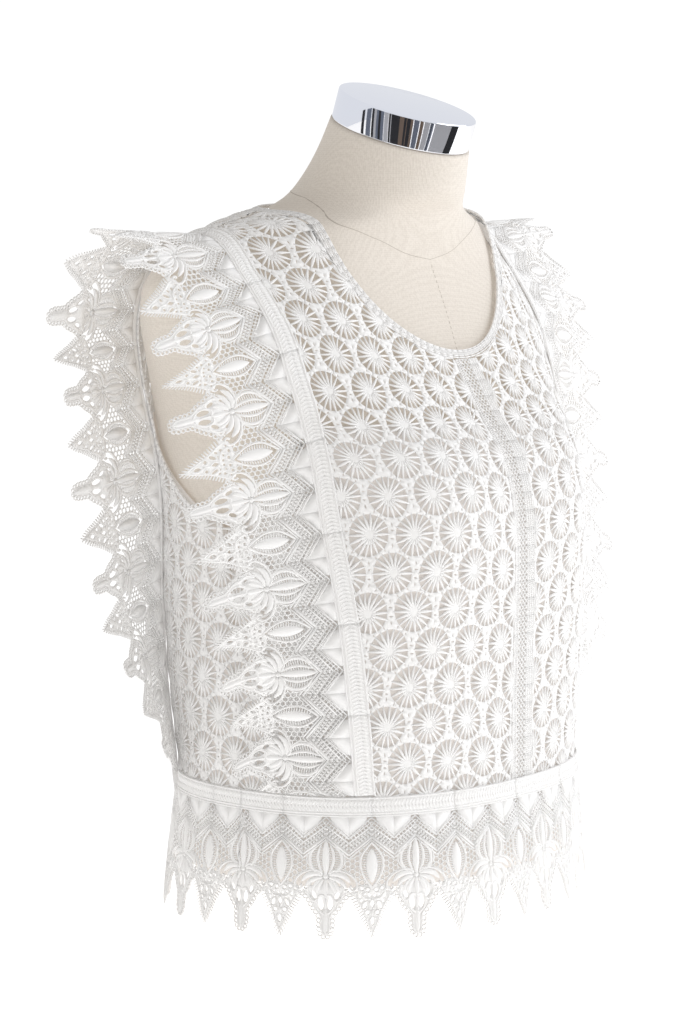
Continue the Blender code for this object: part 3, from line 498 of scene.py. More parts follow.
def strip_surface(side):
    """A grid of points on a border strip's inner face, along its seam and across its width."""
    along = np.linspace(0, STRIP_TOTAL, STRIP_SAMPLES)
    samples = body_point(STRIP_ANGLE, STRIP_HEIGHT)
    tangents = smoothed(unit(np.gradient(samples, STRIP_LENGTH, axis=0)))
    normals = smoothed(body_normal(STRIP_ANGLE, STRIP_HEIGHT))

    base = resampled(along, STRIP_LENGTH, samples)
    t = unit(resampled(along, STRIP_LENGTH, tangents))
    n = unit(resampled(along, STRIP_LENGTH, normals))
    way = along / STRIP_TOTAL
    plan = np.radians(table_value(STAND, STAND_COLUMNS, side + "_angle", way))
    droop = table_value(STAND, STAND_COLUMNS, "droop", way)
    hug = table_value(STAND, STAND_COLUMNS, side + "_hug", way)
    out = np.stack((np.cos(plan), np.sin(plan), -droop), axis=1)
    out = unit(out - t * np.sum(out * t, axis=1, keepdims=True))
    lie = np.cross(t, n)
    lie = unit(lie * np.sign(lie[:, :1]))
    height = np.interp(along, STRIP_LENGTH, STRIP_HEIGHT)
    in_front = way < 0.5
    seam = np.where(in_front, seam_arc(height), seam_arc(height, True))
    grid = np.zeros((len(along), len(STRIP_WIDTHS), 3))
    for j, w in enumerate(STRIP_WIDTHS):
        flat = min(w, BRAID) - STRIP_OVERLAP
        stand = base + n * BORDER_LIFT + lie * flat + out * max(0.0, w - BRAID)
        if flat < 0:
            over_panel = base + lie * flat
            level = np.clip(over_panel[:, 2], BODY_RINGS[0, 0], LAP_TOP)
            turn = np.where(in_front, angle_at_x(over_panel[:, 0], level),
                            angle_at_x(over_panel[:, 0], level, True))
            stand = lifted(turn, level, np.full(len(along), BORDER_LIFT))
        over = w - STRIP_OVERLAP
        arc = np.where(in_front, seam + over, seam - over)
        clear = BORDER_LIFT + HUG_CLEARANCE * min(1.0, w / (2 * BRAID))
        low = np.minimum(height, LEVELS[-1])
        snug = lifted(arc_angle(low, arc), low, np.full(len(along), clear))
        grid[:, j] = np.where(hug[:, None] > 0, stand * (1 - hug[:, None]) + snug * hug[:, None],
                              stand)
    return grid


def facing_normals(grid, toward):
    """Unit normals of a grid of points, turned the way of toward."""
    normal = unit(np.cross(np.gradient(grid, axis=0), np.gradient(grid, axis=1)))
    turn = np.sign(np.sum(normal * toward, axis=-1, keepdims=True))
    return normal * np.where(turn == 0, 1, turn)


STRIP_GRIDS = {}
for strip_side in ("left", "right"):
    strip_grid = strip_surface(strip_side)
    from_arm = strip_grid - np.array(ARM_SIDE)
    STRIP_GRIDS[strip_side] = (strip_grid, facing_normals(strip_grid, from_arm))


def strip_place(side, along, across, rise):
    """World points of a strip's lace on the wearer's left: metres along, across and up off it."""
    grid, normals = STRIP_GRIDS[side]
    along = along + table_value(GATHER, GATHER_COLUMNS, "shift", along)
    curl = np.clip((across - CURL_START) / CURL_REACH, 0, 1.2) ** 2
    front = np.clip(CURL_FADE[0] - along / STRIP_TOTAL * CURL_FADE[1], 0, 1)
    low = np.clip(1 - along / STRIP_TOTAL * CURL_WAIST, 0, 1) * front
    along = along - (CURL_LEAN[0] + CURL_LEAN[1] * low) * curl * front
    lap = table_value(LAP, LAP_COLUMNS, "lap", np.clip(along / STRIP_TOTAL, 0, 1))
    across = across - lap * (1 - across / (BORDER_WIDTH * MM)) - CURL_DROP * low * curl
    row = along / STRIP_TOTAL * (len(grid) - 1)
    column = np.interp(across, STRIP_WIDTHS, np.arange(len(STRIP_WIDTHS)))
    wave = (STRIP_WAVE * np.sin(along / (STRIP_REPEAT * MM) * math.tau + STRIP_WAVE_START)
            * np.clip(across / LOOSE_WAVE, 0, 1))
    point = grid_value(grid, row, column)
    normal = unit(grid_value(normals, row, column))
    return point + normal * (rise + wave)[..., None]


def hem_place(along, across, rise):
    """World points of the hem border's lace, along the waist from the centre front."""
    total = HEM_REPEATS * BORDER_REPEAT * MM
    turn = (along + total / 2) % total - total / 2
    half = ring_length(np.array([WAIST]))[0]
    level = np.full(along.shape, WAIST)
    angle = -np.sign(turn) * arc_angle(level, np.abs(turn) / (total / 2) * half)
    base = body_point(angle, level)
    normal = body_normal(angle, level)
    normal[..., 2] = 0
    normal = unit(normal)
    loose = np.clip(across / LOOSE_WAVE, 0, 1)
    size, pace, begin = HEM_LONG_WAVE
    wave = HEM_WAVE * np.sin(along / (BORDER_REPEAT * MM) * math.tau) * loose
    wave += size * np.sin(along * pace + begin) * loose ** 1.5
    out = HEM_LIFT + across * HEM_FLARE + rise + wave
    drop = across * math.sqrt(1 - HEM_FLARE ** 2)
    point = base + normal * out[..., None]
    point[..., 2] -= drop
    return point


# ------------------------------------------------------------------ steps for new objects


def placed(name, data):
    """A new object in the scene."""
    thing = bpy.data.objects.new(name, data)
    bpy.context.scene.collection.objects.link(thing)
    return thing


def shade_smooth(mesh):
    mesh.polygons.foreach_set("use_smooth", np.ones(len(mesh.polygons), dtype=bool))


def select_only(*pieces):
    """Selects the given objects, the first of them as the active one, and no other."""
    bpy.ops.object.select_all(action="DESELECT")
    for piece in pieces:
        piece.select_set(True)
    if pieces:
        bpy.context.view_layer.objects.active = pieces[0]


# ------------------------------------------------------------------ drawing lace flat

SLIM = ((1.0, 0.0), (0.55, 1.0), (-0.55, 1.0), (-1.0, 0.0))
PLUMP = ((1.0, 0.0), (0.78, 0.7), (0.0, 1.0), (-0.78, 0.7), (-1.0, 0.0))
RAIL_HEIGHT = 1.5


def curve_through(places, count):
    """A smooth curve of count points through the given places."""
    places = np.asarray(places, dtype=float)
    ends = np.concatenate((2 * places[:1] - places[1:2], places, 2 * places[-1:] - places[-2:-1]))
    t = np.linspace(0, len(places) - GRID_END, count)
    k = t.astype(int)
    f = (t - k)[:, None]
    a, b, c, d = ends[k], ends[k + 1], ends[k + 2], ends[k + 3]
    return 0.5 * (2 * b + (c - a) * f + (2 * a - 5 * b + 4 * c - d) * f ** 2
                  + (3 * b - a - 3 * c + d) * f ** 3)


def oval(centre, half_across, half_up, count, turn=0.0):
    angles = np.arange(count) * math.tau / count
    x = half_across * np.cos(angles)
    y = half_up * np.sin(angles)
    c, s = math.cos(turn), math.sin(turn)
    return np.stack((centre[0] + x * c - y * s, centre[1] + x * s + y * c), axis=1)


def inside_outline(places, outline):
    """Which places lie inside a closed outline."""
    inside = np.zeros(len(places), dtype=bool)
    x, y = places[:, 0], places[:, 1]
    for (xa, ya), (xb, yb) in zip(outline, outline[1:] + outline[:1]):
        crosses = (ya > y) != (yb > y)
        with np.errstate(divide="ignore", invalid="ignore"):
            inside ^= crosses & (x < (xb - xa) * (y - ya) / (yb - ya) + xa)
    return inside


class Lace:
    """Threads drawn flat in millimetres: x across, y along the cloth, z up off it."""

    def __init__(self):
        self.points = np.zeros((0, 3))
        self.threads = np.zeros((0, 2))
        self.quads = np.zeros((0, 4), dtype=int)
        self.tris = np.zeros((0, 3), dtype=int)

    def add(self, points, threads, quads, tris):
        count = len(self.points)
        self.points = np.concatenate((self.points, np.reshape(points, (-1, 3))))
        self.threads = np.concatenate((self.threads, np.reshape(threads, (-1, 2))))
        if len(quads):
            self.quads = np.concatenate((self.quads, np.reshape(quads, (-1, 4)) + count))
        if len(tris):
            self.tris = np.concatenate((self.tris, np.reshape(tris, (-1, 3)) + count))

    def cord(self, line, width, high, low=0.1, closed=False, plump=False):
        """A cord of rounded section along a line; width and high may change along it."""
        line = np.asarray(line, dtype=float)
        count = len(line)
        half = np.broadcast_to(np.asarray(width, dtype=float), (count,)) / 2
        high = np.broadcast_to(np.asarray(high, dtype=float), (count,))
        if closed:
            ahead = np.roll(line, -1, axis=0) - np.roll(line, 1, axis=0)
        else:
            ahead = np.gradient(line, axis=0)
        ahead = ahead / np.maximum(np.linalg.norm(ahead, axis=1, keepdims=True), 1e-9)
        left = np.stack((-ahead[:, 1], ahead[:, 0]), axis=1)
        run = lengths_along(line)
        section = PLUMP if plump else SLIM
        points, threads = [], []
        for share, rise in section:
            flat = line + left * (half * share)[:, None]
            points.append(np.column_stack((flat, low + (high - low) * rise)))
            threads.append(np.stack((half * share, run), axis=1))
        k = len(section)
        i = np.arange(count if closed else count - 1)[:, None]
        j = np.arange(k)[None, :]
        after = (i + 1) % count
        turn = (j + 1) % k
        quads = np.stack((i * k + j, i * k + turn, after * k + turn, after * k + j), axis=-1)
        tris = []
        if not closed:
            end = (count - 1) * k
            for a in range(1, k - 1):
                tris.append((a + 1, a, 0))
                tris.append((end, end + a, end + a + 1))
        self.add(np.stack(points, axis=1), np.stack(threads, axis=1), quads, tris)

    def petal(self, places, width, high, count=9, tip=0.2, fullness=0.75, ribs=0.0, low=0.1):
        """A padded petal along a curve, widest near its middle, ribbed across."""
        line = curve_through(places, count)
        t = np.linspace(0, 1, count)
        shape = tip + (1 - tip) * np.sin(math.pi * t) ** fullness
        ribbed = 1 + ribs * np.where(np.arange(count) % 2, 1, -1)
        self.cord(line, width * shape * (1 + (ribbed - 1) * 0.4),
                  low + (high - low) * (0.55 + 0.45 * shape) * ribbed, low, plump=True)

    def bend(self, places, count, width, high, plump=False):
        """A cord of count points along a smooth curve."""
        self.cord(curve_through(places, count), width, high, plump=plump)

    def rail(self, length, count, level, width, low=0.1, upright=False):
        """A straight cord of count points from 0 to length, across the drawing or up it."""
        line = np.column_stack((np.linspace(0, length, count), np.full(count, level)))
        self.cord(line[:, ::-1] if upright else line, width, RAIL_HEIGHT, low)

    def ring(self, centre, radius, width, high, sides=9):
        self.cord(oval(centre, radius, radius, sides), width, high, closed=True)

    def bead(self, centre, radius, high, sides=6, low=0.1):
        """A low dome."""
        foot = oval(centre, radius, radius, sides)
        points = np.concatenate((np.column_stack((foot, np.full(sides, low))),
                                 [(centre[0], centre[1], high)]))
        k = np.arange(sides)
        sloping = np.stack((k, (k + 1) % sides, np.full(sides, sides)), axis=1)
        under = np.stack((np.zeros(sides - 2, dtype=int), k[2:], k[1:-1]), axis=1)
        self.add(points, points[:, :2] - np.asarray(centre), (), np.concatenate((sloping, under)))

    def dome(self, rings, high, sides):
        """A low round dome about the origin; rings are (radius, height), the last one its foot."""
        turns = np.arange(sides) * math.tau / sides
        points = [(0.0, 0.0, high)]
        for radius, z in rings:
            points += list(zip(radius * np.cos(turns), radius * np.sin(turns), np.full(sides, z)))
        points = np.array(points)
        k = np.arange(sides)
        after = (k + 1) % sides
        quads = [np.stack((1 + r * sides + k, 1 + (r + 1) * sides + k, 1 + (r + 1) * sides + after,
                           1 + r * sides + after), axis=1) for r in range(len(rings) - 1)]
        last = 1 + (len(rings) - 1) * sides
        tris = [np.stack((np.zeros_like(k), 1 + k, 1 + after), axis=1),
                np.stack((np.full(sides - 2, last), last + k[2:], last + k[1:-1]), axis=1)]
        self.add(points, points[:, :2], np.concatenate(quads), np.concatenate(tris))

    def plate(self, outline, holes, high, low=0.1):
        """A closely worked patch with open holes."""
        loops = [list(outline)] + [[tuple(p) for p in hole] for hole in holes]
        places = [Vector(p) for loop in loops for p in loop]
        edges = []
        first = 0
        for loop in loops:
            edges += [(first + k, first + (k + 1) % len(loop)) for k in range(len(loop))]
            first += len(loop)
        found = delaunay_2d_cdt(places, edges, [], 0, 1e-6)
        flat = np.array([tuple(v) for v in found[0]])
        faces = np.array([tuple(f) for f in found[2]])
        middles = flat[faces].mean(axis=1)
        keep = inside_outline(middles, loops[0])
        for hole in loops[1:]:
            keep &= ~inside_outline(middles, hole)
        faces = faces[keep]
        a, b, c = flat[faces[:, 0]], flat[faces[:, 1]], flat[faces[:, 2]]
        turned = np.cross(b - a, c - a) < 0
        faces[turned] = faces[turned][:, ::-1]
        ways = {(f[k], f[(k + 1) % 3]) for f in faces.tolist() for k in range(3)}
        rim = [(i, j) for i, j in ways if (j, i) not in ways]
        count = len(flat)
        walls = [(i, i + count, j + count, j) for i, j in rim]
        points = np.concatenate((np.column_stack((flat, np.full(count, high))),
                                 np.column_stack((flat, np.full(count, low)))))
        self.add(points, points[:, :2], np.array(walls),
                 np.concatenate((faces, faces[:, ::-1] + count)))

    def band(self, length, low_edge, high_edge, high, low=0.1):
        """A level band from 0 to length, between two heights of the drawing."""
        xs = np.linspace(0, length, int(round(length / 4)) + 1)
        ys = np.linspace(low_edge, high_edge, 4)
        rows, columns = len(xs), len(ys)
        flat = np.stack(np.meshgrid(xs, ys, indexing="ij"), axis=-1).reshape(-1, 2)
        top = np.column_stack((flat, np.full(len(flat), high)))
        under = np.column_stack((flat, np.full(len(flat), low)))
        i = np.arange(rows - 1)[:, None] * columns + np.arange(columns - 1)[None, :]
        faces = np.stack((i, i + columns, i + columns + 1, i + 1), axis=-1).reshape(-1, 4)
        count = len(flat)
        near = np.arange(rows) * columns
        border = np.concatenate((near[:-1], (rows - 1) * columns + np.arange(columns - 1),
                                 near[:0:-1] + columns - 1, np.arange(columns - 1, 0, -1)))
        after = np.roll(border, -1)
        walls = np.stack((border, border + count, after + count, after), axis=1)
        self.add(np.concatenate((top, under)), np.concatenate((flat, flat)),
                 np.concatenate((faces, faces[:, ::-1] + count, walls)), ())

    def mirror(self, axis=0.0):
        """Adds the other half, across a line of constant x."""
        points = self.points * (-1, 1, 1) + (2 * axis, 0, 0)
        self.add(points, self.threads * (-1, 1), self.quads[:, ::-1], self.tris[:, ::-1])

    def join(self, other, shift=(0.0, 0.0, 0.0)):
        self.add(other.points + shift, other.threads, other.quads, other.tris)

    def stretched(self, factors):
        """A copy, stretched across, along and up."""
        copy = Lace()
        copy.add(self.points * factors, self.threads, self.quads, self.tris)
        return copy


# ------------------------------------------------------------------ the daisy ground


def draw_daisy():
    """One daisy with the close-worked patch that joins it to its neighbours beside it."""
    lace = Lace()

    def rim(degrees):
        turn = math.radians(degrees)
        reach = 1 / math.hypot(math.cos(turn) / DAISY_RIM[0], math.sin(turn) / DAISY_RIM[1])
        return np.array((reach * math.cos(turn), reach * math.sin(turn)))

    lace.dome(((3.4, 2.0), (5.9, 1.5), (6.2, 0.1)), 2.2, 12)
    for k in range(DAISY_SPOKES):
        end = rim(k * 360 / DAISY_SPOKES)
        ahead = end / np.linalg.norm(end)
        lace.cord([ahead * 2.8, ahead * (8.2 if k % 2 else 7.2), end + ahead * 0.7],
                  (1.1, 2.2, 0.95), (2.2, 1.75, 1.2), 0.3)
    outline = []
    width, rise = DAISY_DRAWN
    half = width / 2
    for centre, start, stop, count in (
            ((0, 0), -55.8, 55.8, 7), ((half, rise), 235.8, 304.2, 5),
            ((width, 0), 124.2, 235.8, 7), ((half, -rise), 55.8, 124.2, 5)):
        outline += [tuple(np.array(centre) + rim(t)) for t in np.linspace(start, stop, count)]
    holes = []
    for x, y, across, up, slant in (
            (0.0, 2.7, 1.65, 0.5, 0.1), (0.1, 6.7, 0.5, 1.9, -0.1), (-5.1, 10.0, 0.5, 1.3, -0.6),
            (5.1, 10.1, 0.5, 1.3, 0.6)):
        c, d = math.cos(slant), math.sin(slant)
        for sign in (-1, 1):
            holes.append([(half + sign * (x + i * c - j * d), sign * (y + i * d + j * c))
                          for i, j in ((across, 0), (0, up), (-across, 0), (0, -up))])
    lace.plate(outline, holes, 1.0)
    return lace


def copies_of(lace, places):
    """The drawing laid at each place: its points, threads, quads and triangles."""
    count = len(lace.points)
    places = np.asarray(places, dtype=float)
    points = lace.points[None] + np.column_stack((places, np.zeros(len(places))))[:, None]
    shift = (np.arange(len(places)) * count)[:, None, None]
    return (points.reshape(-1, 3), np.tile(lace.threads, (len(places), 1)),
            (lace.quads[None] + shift).reshape(-1, 4), (lace.tris[None] + shift).reshape(-1, 3))


def closed_ends(mesh):
    """Caps the threads that were cut off at an edge."""
    built = bmesh.new()
    built.from_mesh(mesh)
    open_edges = [e for e in built.edges if len(e.link_faces) == 1]
    if open_edges:
        bmesh.ops.holes_fill(built, edges=open_edges, sides=0)
    loose = [e for e in built.edges if not e.link_faces]
    if loose:
        bmesh.ops.delete(built, geom=loose, context="EDGES")
    built.to_mesh(mesh)
    built.free()


def lace_object(name, points, threads, quads, tris, past, material, flip=False):
    """A mesh piece from laid-out lace, without the parts that lie past the edge."""
    quads = quads[~past[quads].all(axis=1)]
    tris = tris[~past[tris].all(axis=1)]
    if flip:
        quads = quads[:, ::-1]
        tris = tris[:, ::-1]
    used = np.unique(np.concatenate((quads.ravel(), tris.ravel())))
    renumber = np.zeros(len(points), dtype=int)
    renumber[used] = np.arange(len(used))
    mesh = bpy.data.meshes.new(name)
    faces = renumber[quads].tolist() + renumber[tris].tolist()
    mesh.from_pydata(points[used].tolist(), [], faces)
    corners = np.zeros(len(mesh.loops), dtype=np.int32)
    mesh.loops.foreach_get("vertex_index", corners)
    layer = mesh.uv_layers.new(name="thread")
    layer.data.foreach_set("uv", (threads[used] * MM)[corners].astype(np.float32).ravel())
    if past.any():
        closed_ends(mesh)
    shade_smooth(mesh)
    mesh.materials.append(material)
    return placed(name, mesh)


def daisy_places(across_range, up_range):
    """Where the daisies lie that touch a range of lengths and climbs; odd rows are half on."""
    places = []
    for row in range(-2, int(up_range[1] / DAISY_UP) + 3):
        v = DAISY_START[1] + row * DAISY_UP
        if not up_range[0] - DAISY_REACH < v < up_range[1] + DAISY_REACH:
            continue
        for column in range(-10, 14):
            u = DAISY_START[0] + (column + 0.5 * (row % 2)) * DAISY_ACROSS
            if across_range[0] - 1.5 * DAISY_REACH < u < across_range[1] + DAISY_REACH:
                places.append((u, v))
    return np.array(places)


def laid_daisies(daisy, places):
    """The daisy ground at the lattice places, a little uneven as hand work is, in metres."""
    fitted = daisy.stretched((DAISY_ACROSS / DAISY_DRAWN[0], DAISY_UP / DAISY_DRAWN[1],
                              DAISY_HEIGHT))
    points, *drawn = copies_of(fitted, places)
    u, v = points[:, 0].copy(), points[:, 1].copy()
    for axis, *waves in UNEVEN:
        points[:, axis] += sum(size * np.sin(u * pace_across + v * pace_up + start)
                               for size, pace_across, pace_up, start in waves)
    size, pace_across, pace_up = UNEVEN_HEIGHT
    points[:, 2] += size * np.sin(u * pace_across) * np.sin(v * pace_up) * (points[:, 2] > 0.5)
    return points * MM, drawn


# ------------------------------------------------------------------ the pointed border


def ladder(lace, start, end, offset, step, rail, rung, high):
    """Two rails side by side from start to end, with rungs that leave square holes."""
    start = np.array(start, dtype=float)
    end = np.array(end, dtype=float)
    length = np.linalg.norm(end - start)
    ahead = (end - start) / length
    side = np.array((-ahead[1], ahead[0])) * offset
    drop = np.array((0, offset / ahead[0]))
    for sign in (-1, 0, 1):
        lace.cord([start + drop * sign, end + drop * sign], rail if sign else rail * 0.8, high)
    for k in range(int(length / step)):
        middle = start + ahead * (k + 0.6) * step
        lace.cord([middle - side, middle + side], rung, high * 0.85)


def net(lace, outline, side, width, high):
    """A six-sided net that fills an outline."""
    height = side * math.sqrt(3)
    links = []
    for i in range(-2, int(32 / (1.5 * side)) + 2):
        for j in range(int(24 / height), int(70 / height)):
            x = i * 1.5 * side
            y = (j + 0.5 * (i % 2)) * height
            a = (x + side * 0.5, y)
            for turn in (0, 120, -120):
                t = math.radians(turn)
                links.append((a, (a[0] + side * math.cos(t), a[1] + side * math.sin(t))))
    middles = np.array([((a[0] + b[0]) / 2, (a[1] + b[1]) / 2) for a, b in links])
    for keep, (a, b) in zip(inside_outline(middles, outline), links):
        if keep:
            lace.cord([a, b], width, high, 0.3)


def draw_zigzags():
    """The upper bands of the border over a quarter of a repeat."""
    lace = Lace()
    lace.plate([(2.7, 13.0), (15.0, 13.0), (15.0, 26.6), (11.0, 22.9), (7.0, 19.1), (3.4, 15.4)],
               (), 1.0)
    lace.cord([(2.2, 15.6), (8.6, 21.6), (15.0, 27.5)], 0.9, 1.4)
    ladder(lace, (0, 16.4), (15, 28.0), 2.1, 2.6, 1.0, 0.85, 1.25)
    slope = np.array((15.0, 11.5))
    for drop in (21.0, 24.0):
        for k in range(8):
            lace.bead(np.array((0, drop)) + slope * (k + 0.35) / 8, 1.22, 1.75)
    for drop in (19.7, 22.5, 25.4):
        lace.cord([(0, drop), (7.5, drop + 5.75), (15, drop + 11.5)], 0.7, 0.7)
    lace.cord([(0, 26.6), (7.5, 32.6), (15, 38.6)], 1.5, 1.7, plump=True)
    lace.cord([(0, 28.4), (7.5, 34.7), (15, 41.0)], 1.2, 1.35)
    lace.mirror(15.0)
    return lace


def draw_braid(length, pitch=2.5):
    """The plain braid along the border's straight edge."""
    lace = Lace()
    lace.band(length, 0.2, 13.2, 1.0)
    for level in (0.9, 10.9, 12.7):
        lace.rail(length, int(length / 4) + 1, level, 1.2, 0.9)
    for k in range(int(round(length / pitch))):
        x = k * pitch
        for places in ([(x, 2.2), (x + 1.9, 5.9)], [(x + 1.9, 6.2), (x, 9.9)]):
            lace.cord(places, 1.1, 1.22, 0.9)
    return lace


def draw_palmette():
    """One side of the palmette and its finger, from its axis at x = 0."""
    lace = Lace()
    lace.petal([(1.5, 52.0), (3.9, 47.5), (5.2, 42), (4.8, 36.5), (2.7, 31.2)], 2.1, 1.6, 11,
               0.35, ribs=0.1)
    lace.petal([(2.2, 52.2), (7.0, 49.6), (10.2, 44.8), (10.5, 39.6), (8.6, 35.4), (5.8, 32.4)],
               2.3, 1.6, 13, 0.4, ribs=0.1)
    for w in np.arange(34.0, 49.5, 1.5):
        lace.cord([(1.9, w), (4.6, w + 0.3)], 0.75, 0.85)
        lace.cord([(5.2, w - 0.3), (9.8, w + 0.5)], 0.75, 0.8)
    lace.bend([(4.2, 51.2), (8.9, 48.6), (12.1, 44.2), (12.3, 39.2), (10.2, 35.0)], 9, 0.95, 1.3)
    lace.bend([(1.8, 51.4), (5.6, 49.0), (12, 49.8), (17.4, 52.8), (20.3, 57.0), (19.8, 61.0),
               (17.4, 62.3), (15.9, 60.6), (16.8, 58.8)], 17, 1.5, 1.65, True)
    for places, width, high, count, ribs in (
            ([(2.0, 52.6), (6.6, 51.5), (12.2, 53.0), (16.0, 57.0)], 4.0, 1.8, 11, 0.09),
            ([(1.8, 53.9), (5.8, 54.6), (10.2, 56.8), (13.6, 60.6)], 3.4, 1.7, 10, 0.09),
            ([(1.2, 54.8), (3.8, 58.0), (5.6, 61.6), (5.8, 64.4)], 3.6, 1.7, 9, 0.09),
            ([(2.2, 54.6), (6.2, 57.8), (8.4, 61.4), (8.6, 63.8)], 2.2, 1.5, 9, 0.0)):
        lace.petal(places, width, high, count, ribs=ribs)
    lace.bend([(14.4, 61.2), (12.6, 62.6), (11.2, 60.2), (9.6, 57.6)], 8, 1.1, 1.3)
    lace.bend([(9.8, 59.4), (11.3, 62.8), (10.6, 66.9), (7.6, 69.9), (5.0, 68.0)],
               10, 1.5, 1.6, True)
    lace.bend([(0.6, 66.4), (3.4, 65.6), (5.6, 68.6), (5.6, 72.6), (3.8, 76.4), (0.9, 78.4)],
               10, 1.5, 1.6, True)
    lace.bend([(9.6, 66.6), (8.8, 70.4), (7.2, 74.4), (4.6, 77.6), (2.9, 80.6), (2.9, 86.2),
               (2.4, 90.0), (0.3, 92.6)], 12, 1.2, 1.45)
    for centre in ((1.4, 94.0), (3.6, 91.9), (4.5, 89.0), (4.7, 86.0), (4.7, 83.0), (5.0, 80.0),
                   (6.7, 77.4), (8.5, 75.0), (10.0, 72.3), (11.4, 69.5), (13.4, 67.1),
                   (15.6, 65.2)):
        lace.ring(centre, 1.4, 0.85, 1.15, 6)
    return lace


def draw_leaf():
    """One side of the leaf and the point under it, from its axis at x = 30."""
    lace = Lace()
    lace.bend([(30.2, 30.0), (26.6, 34.0), (23.5, 38.8), (22.6, 44.2), (23.7, 50.2), (26.7, 56.0),
               (30.2, 60.6)], 15, 1.45, 1.65, True)
    for k in range(13):
        y = 35.4 + 1.6 * k
        reach = 1 - abs((y - 45.0) / 14.5) ** 1.8
        lace.cord([(30 - 3.2 * reach, y), (30.4 - 6.9 * reach, y - 0.5)], 0.8, 0.9)
    outline = [(9.6, 35.0), (15, 41.6), (20, 37.6), (27.2, 31.6), (23.2, 38.6), (22.3, 44),
               (23.6, 50.4), (26.4, 56.2), (28.6, 60.0), (21.6, 61.4), (20.4, 56.6), (17.4, 52.4),
               (12, 49.6), (9.4, 48.9), (12.6, 44.2), (12.7, 39.0), (10.2, 35.4)]
    net(lace, outline, 2.05, 1.0, 1.0)
    for centre in ((27.3, 61.9), (23.4, 61.0)):
        lace.ring(centre, 1.75, 1.0, 1.35)
    lace.ring((25.3, 64.6), 1.35, 0.9, 1.2, 8)
    lace.bend([(21.0, 60.6), (22.6, 64.4), (25.2, 67.2), (28.6, 67.6)], 9, 1.2, 1.4)
    lace.bend([(30.0, 67.6), (28.0, 71.2), (30.0, 74.6)], 7, 1.1, 1.35)
    lace.cord(oval((25.3, 72.0), 1.6, 3.1, 10, 0.45), 1.1, 1.35, closed=True)
    lace.cord(oval((26.8, 77.0), 1.75, 1.8, 9), 1.2, 1.45, closed=True)
    lace.bend([(30.0, 79.2), (28.2, 81.6), (28.2, 84.0), (30.0, 86.0)], 8, 1.2, 1.4)
    edge = curve_through([(17.6, 61.6), (18.6, 65.4), (20.6, 69.0), (22.4, 72.2), (24.2, 75.6),
                          (25.4, 79.0), (26.6, 82.6), (28.0, 86.4), (29.9, 90.4)], 16)
    lace.cord(edge, 1.35, 1.5, plump=True)
    for k, (x, y) in enumerate(curve_through(edge, 17)[1:]):
        turn = math.radians(22 + 52 * (k / 15) ** 1.4)
        lace.cord([(x + 0.4, y - 0.1), (x - 3.8 * math.cos(turn), y + 3.8 * math.sin(turn))],
                  (1.1, 0.8), (1.25, 0.95))
    lace.ring((18.2, 63.6), 1.3, 0.85, 1.15, 8)
    lace.bend([(14.6, 62.6), (16.6, 65.4), (20.6, 63.0)], 7, 1.1, 1.2)
    return lace


def both_sides(half, axis):
    """A closed outline from one side's places, given from top to bottom."""
    other = [(2 * axis - x, y) for x, y in half[::-1] if abs(x - axis) > 0.01]
    return list(half) + other


def draw_points(lace):
    """The closely worked ground of the palmette's finger and of the leaf's point."""
    finger = [(0, 57.5), (3.2, 58.2), (7.5, 59.4), (10.5, 60.0), (13.2, 61.4), (14.8, 63.2),
              (12.6, 66.0), (10.2, 69.2), (8.6, 72.6), (6.8, 75.6), (4.4, 77.6), (3.0, 79.8),
              (2.8, 84.0), (2.7, 88.4), (1.9, 91.4), (0, 92.9)]
    holes = []
    turns = np.arange(12) * math.tau / 12
    drop = np.stack((1.9 * np.cos(turns) * (1 + 0.3 * np.sin(turns)), 4.3 * np.sin(turns)), axis=1)
    for side in (-1, 1):
        holes.append(drop + (side * 3.2, 71.6))
        holes.append(oval((side * 7.5, 66.0), 1.3, 2.7, 9, side * 0.45))
        holes.append(oval((side * 11.6, 63.2), 0.9, 1.3, 8))
    lace.plate(both_sides(finger, 0.0), holes, 0.8)
    point = [(30, 59.2), (26.9, 57.6), (24.0, 58.4), (21.0, 58.8), (17.6, 60.4), (18.0, 63.6),
             (19.6, 67.4), (21.6, 70.8), (23.4, 74.0), (24.8, 77.4), (26.0, 81.0), (27.4, 85.0),
             (28.8, 88.6), (30, 90.6)]
    holes = [[(30, 68.4), (28.6, 71.0), (30, 73.6), (31.4, 71.0)],
             [(30, 80.0), (28.9, 81.8), (29.0, 83.8), (30, 85.2), (31.0, 83.8), (31.1, 81.8)]]
    for side in (-1, 1):
        for x, y, across, up, turn in (
                (2.7, 61.9, 1.0, 1.0, 0), (6.6, 61.0, 1.0, 1.0, 0), (10.2, 62.6, 0.9, 1.3, 0.3),
                (1.5, 65.6, 0.85, 0.9, 0), (4.4, 65.2, 1.0, 1.1, 0), (7.6, 65.6, 1.0, 1.6, 0.5),
                (4.7, 72.0, 1.05, 2.5, 0.45), (3.2, 77.0, 1.15, 1.2, 0), (4.1, 68.6, 0.8, 0.9, 0),
                (7.0, 69.2, 0.75, 1.2, 0.5)):
            holes.append(oval((30 - side * x, y), across, up, 7 if up > 1.15 else 6, side * turn))
    lace.plate(both_sides(point, 30.0), holes, 0.8)


